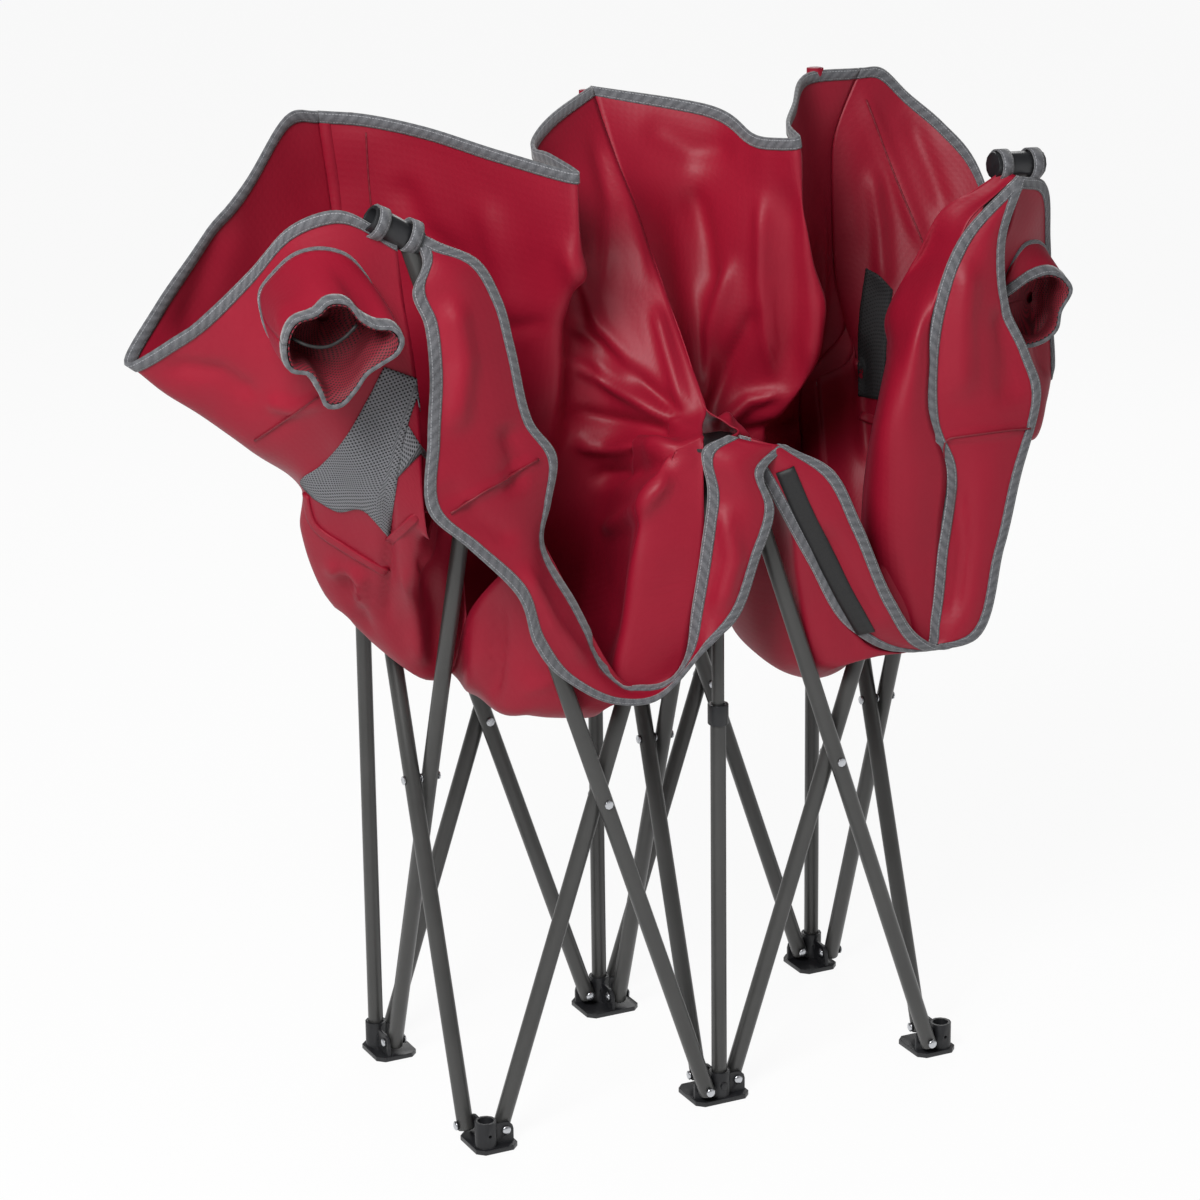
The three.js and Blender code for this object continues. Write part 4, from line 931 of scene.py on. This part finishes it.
# Mesh windows, pocket hems, seams and webbing: the sheet, the rows or the line on the picture, and for a tape
# its width, height, material and points across
patches = {
    "meshWindowLeft": ("sidePanelLeft", [
        [(384, 367), (396, 371), (410, 376), (423, 381)], [(366, 402), (382, 405), (398, 410), (411, 413)],
        [(345, 438), (364, 440), (386, 438), (405, 436)], [(320, 466), (344, 470), (374, 472), (399, 470)],
        [(301, 481), (328, 489), (362, 492), (394, 505)], [(314, 498), (338, 511), (364, 510), (389, 538)]],
        greyMesh),
    "meshWindowLeftCorner": ("sidePanelLeft", [
        [(408, 425), (416, 438), (423, 451)], [(401, 450), (406, 458), (410, 464)],
        [(392, 474), (393, 478), (394, 481)]], greyMesh),
    "meshWindowRight": ("sidePanelRight", [
        [(866, 268), (880, 276), (893, 290)], [(860, 310), (876, 316), (888, 326)],
        [(858, 350), (872, 356), (886, 362)], [(858, 396), (870, 398), (882, 400)]], blackMesh),
}
hem = (9, 2.0, redOxford)
seam = (1.6, 1.7, seamThread, 3)
highSeam = (1.6, 1.9, seamThread, 3)
lowSeam = (1.6, 1.0, seamThread, 3)
tapes = {
    "pocketHemLeft": ("sidePanelLeft", [(306, 494), (312, 522), (345, 548), (386, 572)], *hem),
    "pocketHemRight": ("sidePanelLeft", [(390, 541), (408, 524), (427, 505)], *hem),
    "pocketHemInner": ("sidePanelRight", [(860, 415), (874, 420), (888, 424)], *hem),
    "wingSeamLeft": ("sidePanelLeft", [(255, 440), (285, 420), (318, 397)], *seam),
    "frontWebbing": ("frontStripRight", [(785, 470), (800, 505), (822, 550), (845, 596), (866, 632)], 18, 2.2,
                     blackWebbing),
    "stripSeamRight": ("frontStripRight", [(930, 441), (980, 434), (1030, 428)], *seam),
    "stripSeamLeft": ("frontStripLeft", [(450, 513), (492, 487), (538, 459)], *highSeam),
    "postSeamLeft": ("seatAndBackLeft", [(366, 132), (368, 170), (372, 215)], *lowSeam),
    "wingSeamRight": ("sidePanelRight", [(866, 100), (896, 178), (926, 250)], *seam),
}
trimmed = {"meshWindowLeft": "side_mesh_left", "meshWindowRight": "side_mesh_right",
           "pocketHemLeft": "side_pocket_left", "pocketHemInner": "side_pocket_right",
           "frontWebbing": "front_webbing"}
trees = {name: treeOf(sheet) for name, sheet in sheets.items()}
for layTrim, each in ((layPatch, patches), (layTape, tapes)):
    for name, (sheet, *how) in each.items():
        trim = layTrim(name, trees[sheet], *how)
        trims[sheet].append(trim)
        if name in trimmed:
            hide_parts(trimmed[name])
print("mesh, hems and webbing laid")


# Cup holders: a gathered barrel with a bound mouth, lined with mesh. The base is laid on the side panel. The
# mouth is at a depth that leans forward across the picture, and the lining is rings by share and depth.
cup = {
    "around": 72, "belly": 0.06, "rows": 12, "step": 2.0, "wall": 1.4, "liningWall": 1.0, "piping": 2.4,
    "pipingStep": 3.0, "lining": ((0.93, 1), (0.86, 0.8), (0.82, 0.5), (0.8, 0.24), (0.5, 0.2), (0.12, 0.2)),
}
cupPlaces = {
    "Left": {
        "panel": "sidePanelLeft", "depth": -58, "leanFrom": 285, "lean": 0.16,
        "base": (
            (262, 311), (260, 296), (275, 272), (299, 253), (321, 249), (345, 255), (362, 272), (371, 287),
            (375, 310), (370, 335), (350, 352), (320, 362), (290, 355), (270, 335)),
        "mouth": (
            (285, 345), (294, 323), (319, 313), (328, 304), (348, 304), (362, 320), (376, 328), (394, 330),
            (403, 341), (399, 352), (382, 364), (367, 374), (355, 391), (338, 407), (328, 407), (321, 393),
            (309, 374), (292, 371))},
    "Right": {
        "panel": "sidePanelRight", "depth": -4, "leanFrom": 0, "lean": 0,
        "base": (
            (1003, 300), (1010, 268), (1022, 247), (1036, 242), (1048, 258), (1053, 288), (1050, 318),
            (1036, 342), (1015, 338), (1005, 322)),
        "mouth": (
            (1002, 318), (1004, 299), (1015, 290), (1031, 279), (1055, 274), (1065, 279), (1071, 288),
            (1060, 312), (1057, 328), (1036, 344), (1015, 345), (1004, 334))},
}


def cupRing(places):
    ring = smoothLine(places, cup["step"], True)
    wanted = np.linspace(0, len(ring), cup["around"], endpoint=False)
    return pointsAt(wanted, np.arange(len(ring) + 1), np.concatenate([ring, ring[:1]]))


def cupNet(base, mouth, sizes):
    # Rings between the base and the mouth, each as wide as its share, closed round
    rings = []
    for share, depth in sizes:
        ring = base + (mouth - base) * depth
        centre = ring.mean(axis=0)
        rings.append(centre + (ring - centre) * share)
    net = np.stack(rings)
    return np.concatenate([net, net[:, :1]], axis=1)


def sewCup(side, places, body):
    base = cupRing([laidPoint(trees[places["panel"]], *place)[0] for place in places["base"]])
    mouth = cupRing([seen(x, y, places["depth"] - (x - places["leanFrom"]) * places["lean"])
                     for x, y in places["mouth"]])
    depths = [i / (cup["rows"] - 1) for i in range(cup["rows"])]
    barrel = cupNet(base, mouth, [(1 + cup["belly"] * math.sin(math.pi * t), t) for t in depths])
    outer = sewSheet("cupBarrel" + side, barrel, redOxford, cup["wall"])
    rim = bindEdge("cupRim" + side, barrel, "bottom")
    pipingLine = smoothLine(base, cup["pipingStep"], True)
    piping = sweepRound("cupPiping" + side, pipingLine, cup["piping"], greyTape, True)
    lining = cupNet(base, mouth, cup["lining"])
    lined = sewSheet("cupLining" + side, lining, redMesh, cup["liningWall"])
    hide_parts("cup_holder_" + side.lower())
    for piece, slot in ((outer, "cloth"), (rim, "webbing"), (piping, "webbing"), (lined, "air_mesh")):
        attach(piece, body)
    return (outer, barrel[:, :-1], [rim, piping]), (lined, lining, [])


armBodies = {side: "leg_front_centre_to_front_" + side.lower() for side in cupPlaces}
cupSheets = [sheet for side, places in cupPlaces.items() for sheet in sewCup(side, places, armBodies[side])]
strap = {"step": 3.0, "radius": 1.6}
strapPlaces = ((290, 337, -45), (306, 345, -52), (326, 347, -56), (344, 338, -56), (357, 325, -54))
strapLine = smoothLine([seen(*place) for place in strapPlaces], strap["step"])
cupStrap = sweepRound("cupStrapLeft", strapLine, strap["radius"], blackWebbing)
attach(cupStrap, armBodies["Left"])
print("cup holders sewn")


# Pockets that take the post tops, and the webbing loops that hold the cloth to the arm caps
bays = {"left": -250, "centre": 0, "right": 250}
rearDepth = 266
pocket = {"radius": 8.4, "low": 872, "high": 949.5, "points": 9, "around": 24}
loop = {"radius": 13.6, "width": 11, "thick": 1.6, "around": 40, "shift": 17}
for place, across in bays.items():
    heights = np.linspace(pocket["low"], pocket["high"], pocket["points"])
    sleeve = sweepRound("postPocket_" + place, [(across, rearDepth, height) for height in heights],
                        pocket["radius"], redOxford, around=pocket["around"])
    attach(sleeve, "rear_" + place + "_foot")


def sewLoop(name, centre, way, body):
    way = unit(way)
    first = unit(np.cross(way, (0, 1, 0)))
    second = np.cross(way, first)
    inner, outer, half = loop["radius"], loop["radius"] + loop["thick"], loop["width"] / 2
    rings = []
    for angle in np.linspace(0, 2 * math.pi, loop["around"], endpoint=False):
        out = math.cos(angle) * first + math.sin(angle) * second
        section = ((inner, -half), (outer, -half), (outer, half), (inner, half))
        rings.append([centre + out * r + way * w for r, w in section])
    piece = skinRings(name, np.array(rings), greyTape, True, (0, 0, 1, 1))
    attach(piece, body)


capAxes = {
    "Left": ((-322.3, -9, 898.6), (0.899, 0, -0.438)),
    "Right": ((324.3, 9, 889.9), (0.9986, 0, -0.052)),
}
for side, axis in capAxes.items():
    middle, way = (np.array(each) for each in axis)
    for end, shift in (("Outer", -loop["shift"]), ("Inner", loop["shift"])):
        sewLoop("armLoop" + side + end, middle + way * shift, way, armBodies[side])
print("post pockets and arm loops sewn")


# How the cloth follows the folding frame: each point hangs on the feet and hubs around it, and near an arm on
# it. A share below the least one is left to the body that the piece rides on.
hanging = {"heights": (404, 560, 660, 948), "drops": (0.1, 0.6, 1.0, 0.0), "armHeights": (650, 730),
           "armDepths": (40, 230), "armPlaces": (120, 230), "least": 0.004, "body": "front_centre_foot"}


def bodyShares(points):
    x, y, z = points[:, 0], points[:, 1], points[:, 2]
    across = np.clip(x / bays["right"], -1, 1)
    back = np.clip(y / rearDepth, 0, 1)
    columns = {"left": np.clip(-across, 0, 1), "centre": 1 - np.abs(across), "right": np.clip(across, 0, 1)}
    drop = np.interp(z, hanging["heights"], hanging["drops"])
    arm = (eased(z, hanging["armHeights"]) * (1 - eased(y, hanging["armDepths"]))
           * eased(np.abs(x), hanging["armPlaces"]))
    shares = {armBodies["Left"]: arm * (x < 0), armBodies["Right"]: arm * (x >= 0)}
    for column, columnShare in columns.items():
        for row, rowShare in (("front", 1 - back), ("rear", back)):
            held = columnShare * rowShare * (1 - arm)
            shares[row + "_" + column + "_foot"] = held * (1 - drop)
            shares[row + "_" + column + "_hub"] = held * drop
    return shares


def hangOnFrame(piece):
    points = np.zeros(len(piece.data.vertices) * 3)
    piece.data.vertices.foreach_get("co", points)
    for body, share in bodyShares(points.reshape(-1, 3) / mm).items():
        if share.max() < hanging["least"] or body == hanging["body"]:
            continue
        group = piece.vertex_groups.new(name=body)
        for index in np.nonzero(share > hanging["least"])[0]:
            group.add([int(index)], float(share[index]), "REPLACE")
        hook = piece.modifiers.new(body, "HOOK")
        hook.object = frame["bodies"][body]
        hook.vertex_group = body
        hook.falloff_type = "NONE"
        hook.matrix_inverse = frame["bodies"][body].matrix_world.inverted() @ piece.matrix_world
    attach(piece, hanging["body"])


def declareSheet(net):
    # The flat width and length of the net's own flat map: they are worked out and not used. The flat size
    # comes from the net's own flat map, with the length raised where that is less than the area
    wide, long = (float(np.ptp(netMap(net)[..., axis])) for axis in (0, 1))


trimSlots = {"mesh": "air_mesh", "pocket": "cloth"}
for name, sheet in sheets.items():
    declareSheet(nets[name])
    hangOnFrame(sheet)
    for trim in trims[name]:
        hangOnFrame(trim)
        kind = [slot for start, slot in trimSlots.items() if trim.name.startswith(start)]
for piece, net, trim in cupSheets:
    declareSheet(net)
print("cloth hung on the frame")


# Steel tubes: round, with rolled ends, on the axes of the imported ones. The end reach, in metres, takes the
# points of a packed tube's end.
tubing = {"sides": 32, "endReach": 0.0006}
# Rounding of each kind: width in millimetres, segments, the least angle it takes, and the smoothed angle
rounding = {"tube": (2.2, 3, 50, 40)}
for kind, width in {"foot": 0.7, "hub": 0.7, "arm": 0.9, "support": 0.6, "rivet": 0.5}.items():
    rounding[kind] = (width, 2, 32, 35)


def bodyOf(node):
    return node.parent.name.replace("body:", "")


def tubeEnds(node):
    points = np.unique(np.round([tuple(v.co) for v in node.data.vertices], 6), axis=0)
    middle = points.mean(axis=0)
    way = np.linalg.svd(points - middle, full_matrices=False)[2][0]
    far = (points - middle) @ way
    ends = [points[far > far.max() - tubing["endReach"]], points[far < far.min() + tubing["endReach"]]]
    centres = [end.mean(axis=0) for end in ends]
    radius = float(np.linalg.norm(ends[0] - centres[0], axis=1).max())
    return Vector(centres[0]), Vector(centres[1]), radius


def finishPiece(piece, node, kind, material):
    width, segments, bevelAngle, smoothAngle = rounding[kind]
    edge = piece.modifiers.new("roundedEdge", "BEVEL")
    edge.width = width * mm
    edge.segments = segments
    edge.angle_limit = math.radians(bevelAngle)
    applyModifiers(piece)
    bpy.ops.object.shade_smooth_by_angle(angle=math.radians(smoothAngle))
    piece.data.materials.clear()
    piece.data.materials.append(material)
    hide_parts(node.name)
    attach(piece, bodyOf(node))


def roundTube(node):
    top, foot, radius = tubeEnds(node)
    bpy.ops.mesh.primitive_cylinder_add(vertices=tubing["sides"], radius=radius, depth=(top - foot).length,
                                        location=(top + foot) / 2)
    tube = bpy.context.object
    tube.name = "tube_" + node.name
    tube.rotation_euler = (top - foot).to_track_quat("Z", "Y").to_euler()
    bpy.ops.object.transform_apply(location=True, rotation=True, scale=True)
    finishPiece(tube, node, "tube", charcoalCoat)


# Mouldings and rivets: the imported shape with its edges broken
packed = {"merge": 0.01, "flatAngle": 0.6}


def breakEdges(node, kind, material):
    piece = bpy.data.objects.new("finished_" + node.name, node.data.copy())
    scene.collection.objects.link(piece)
    makeActive(piece)
    bpy.ops.object.mode_set(mode="EDIT")
    bpy.ops.mesh.select_all(action="SELECT")
    bpy.ops.mesh.remove_doubles(threshold=packed["merge"] * mm)
    bpy.ops.mesh.dissolve_limited(angle_limit=math.radians(packed["flatAngle"]))
    bpy.ops.object.mode_set(mode="OBJECT")
    finishPiece(piece, node, kind, material)


for name, node in list(nodes.items()):
    kind = name.split("_")[0]
    if name.startswith(("leg_", "back_post", "support_tube", "support_slide")):
        roundTube(node)
    elif kind in ("foot", "hub", "arm") or name == "support_collar":
        breakEdges(node, kind, blackNylon)
    elif kind == "rivet":
        breakEdges(node, kind, zincRivet)
print("tubes, mouldings and rivets finished")


# Domed zinc heads on the pins at every foot and hub, on both faces of each pair of ears
pinHead = {"radius": 4.5, "rise": 1.7, "low": 17.0, "high": 648.0, "outer": 9.9, "inner": 12.9,
           "segments": 20, "rings": 12}
pins = [(*name[4:].split("_to_"), *tubeEnds(node)[:2]) for name, node in nodes.items()
        if name.startswith("leg_")]


def addHead(place, outward):
    bpy.ops.mesh.primitive_uv_sphere_add(segments=pinHead["segments"], ring_count=pinHead["rings"],
                                         radius=pinHead["radius"] * mm)
    head = bpy.context.object
    head.scale = (1, 1, pinHead["rise"] / pinHead["radius"])
    head.rotation_euler = Vector(outward).to_track_quat("Z", "Y").to_euler()
    head.location = place
    bpy.ops.object.transform_apply(location=True, rotation=True, scale=True)
    bpy.ops.object.shade_smooth()
    return head


def addHeads(joint, row, bay):
    heads = []
    for footPlace, hubPlace, top, low in pins:
        if row + "_" + bay != (footPlace if joint == "foot" else hubPlace):
            continue
        level = pinHead["low" if joint == "foot" else "high"] * mm
        share = (level - low.z) / (top.z - low.z)
        pin = low + (top - low) * share
        across = abs(top.x - low.x) > abs(top.y - low.y)
        axis = Vector((0, 1, 0)) if across else Vector((1, 0, 0))
        home = (rearDepth * (row == "rear") if across else bays[bay]) * mm
        sign = 1 if (pin.y if across else pin.x) > home else -1
        heads.append(addHead(pin + axis * sign * pinHead["outer"] * mm, axis * sign))
        heads.append(addHead(pin - axis * sign * pinHead["inner"] * mm, -axis * sign))
    makeActive(heads[0])
    for head in heads[1:]:
        head.select_set(True)
    bpy.ops.object.join()
    joined = bpy.context.object
    joined.name = "pinHeads_" + joint + "_" + row + "_" + bay
    joined.data.materials.append(zincRivet)
    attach(joined, bodyOf(nodes[joint + "_" + row + "_" + bay]))


for joint in ("foot", "hub"):
    for row in ("front", "rear"):
        for bay in bays:
            addHeads(joint, row, bay)
print("pin heads set")
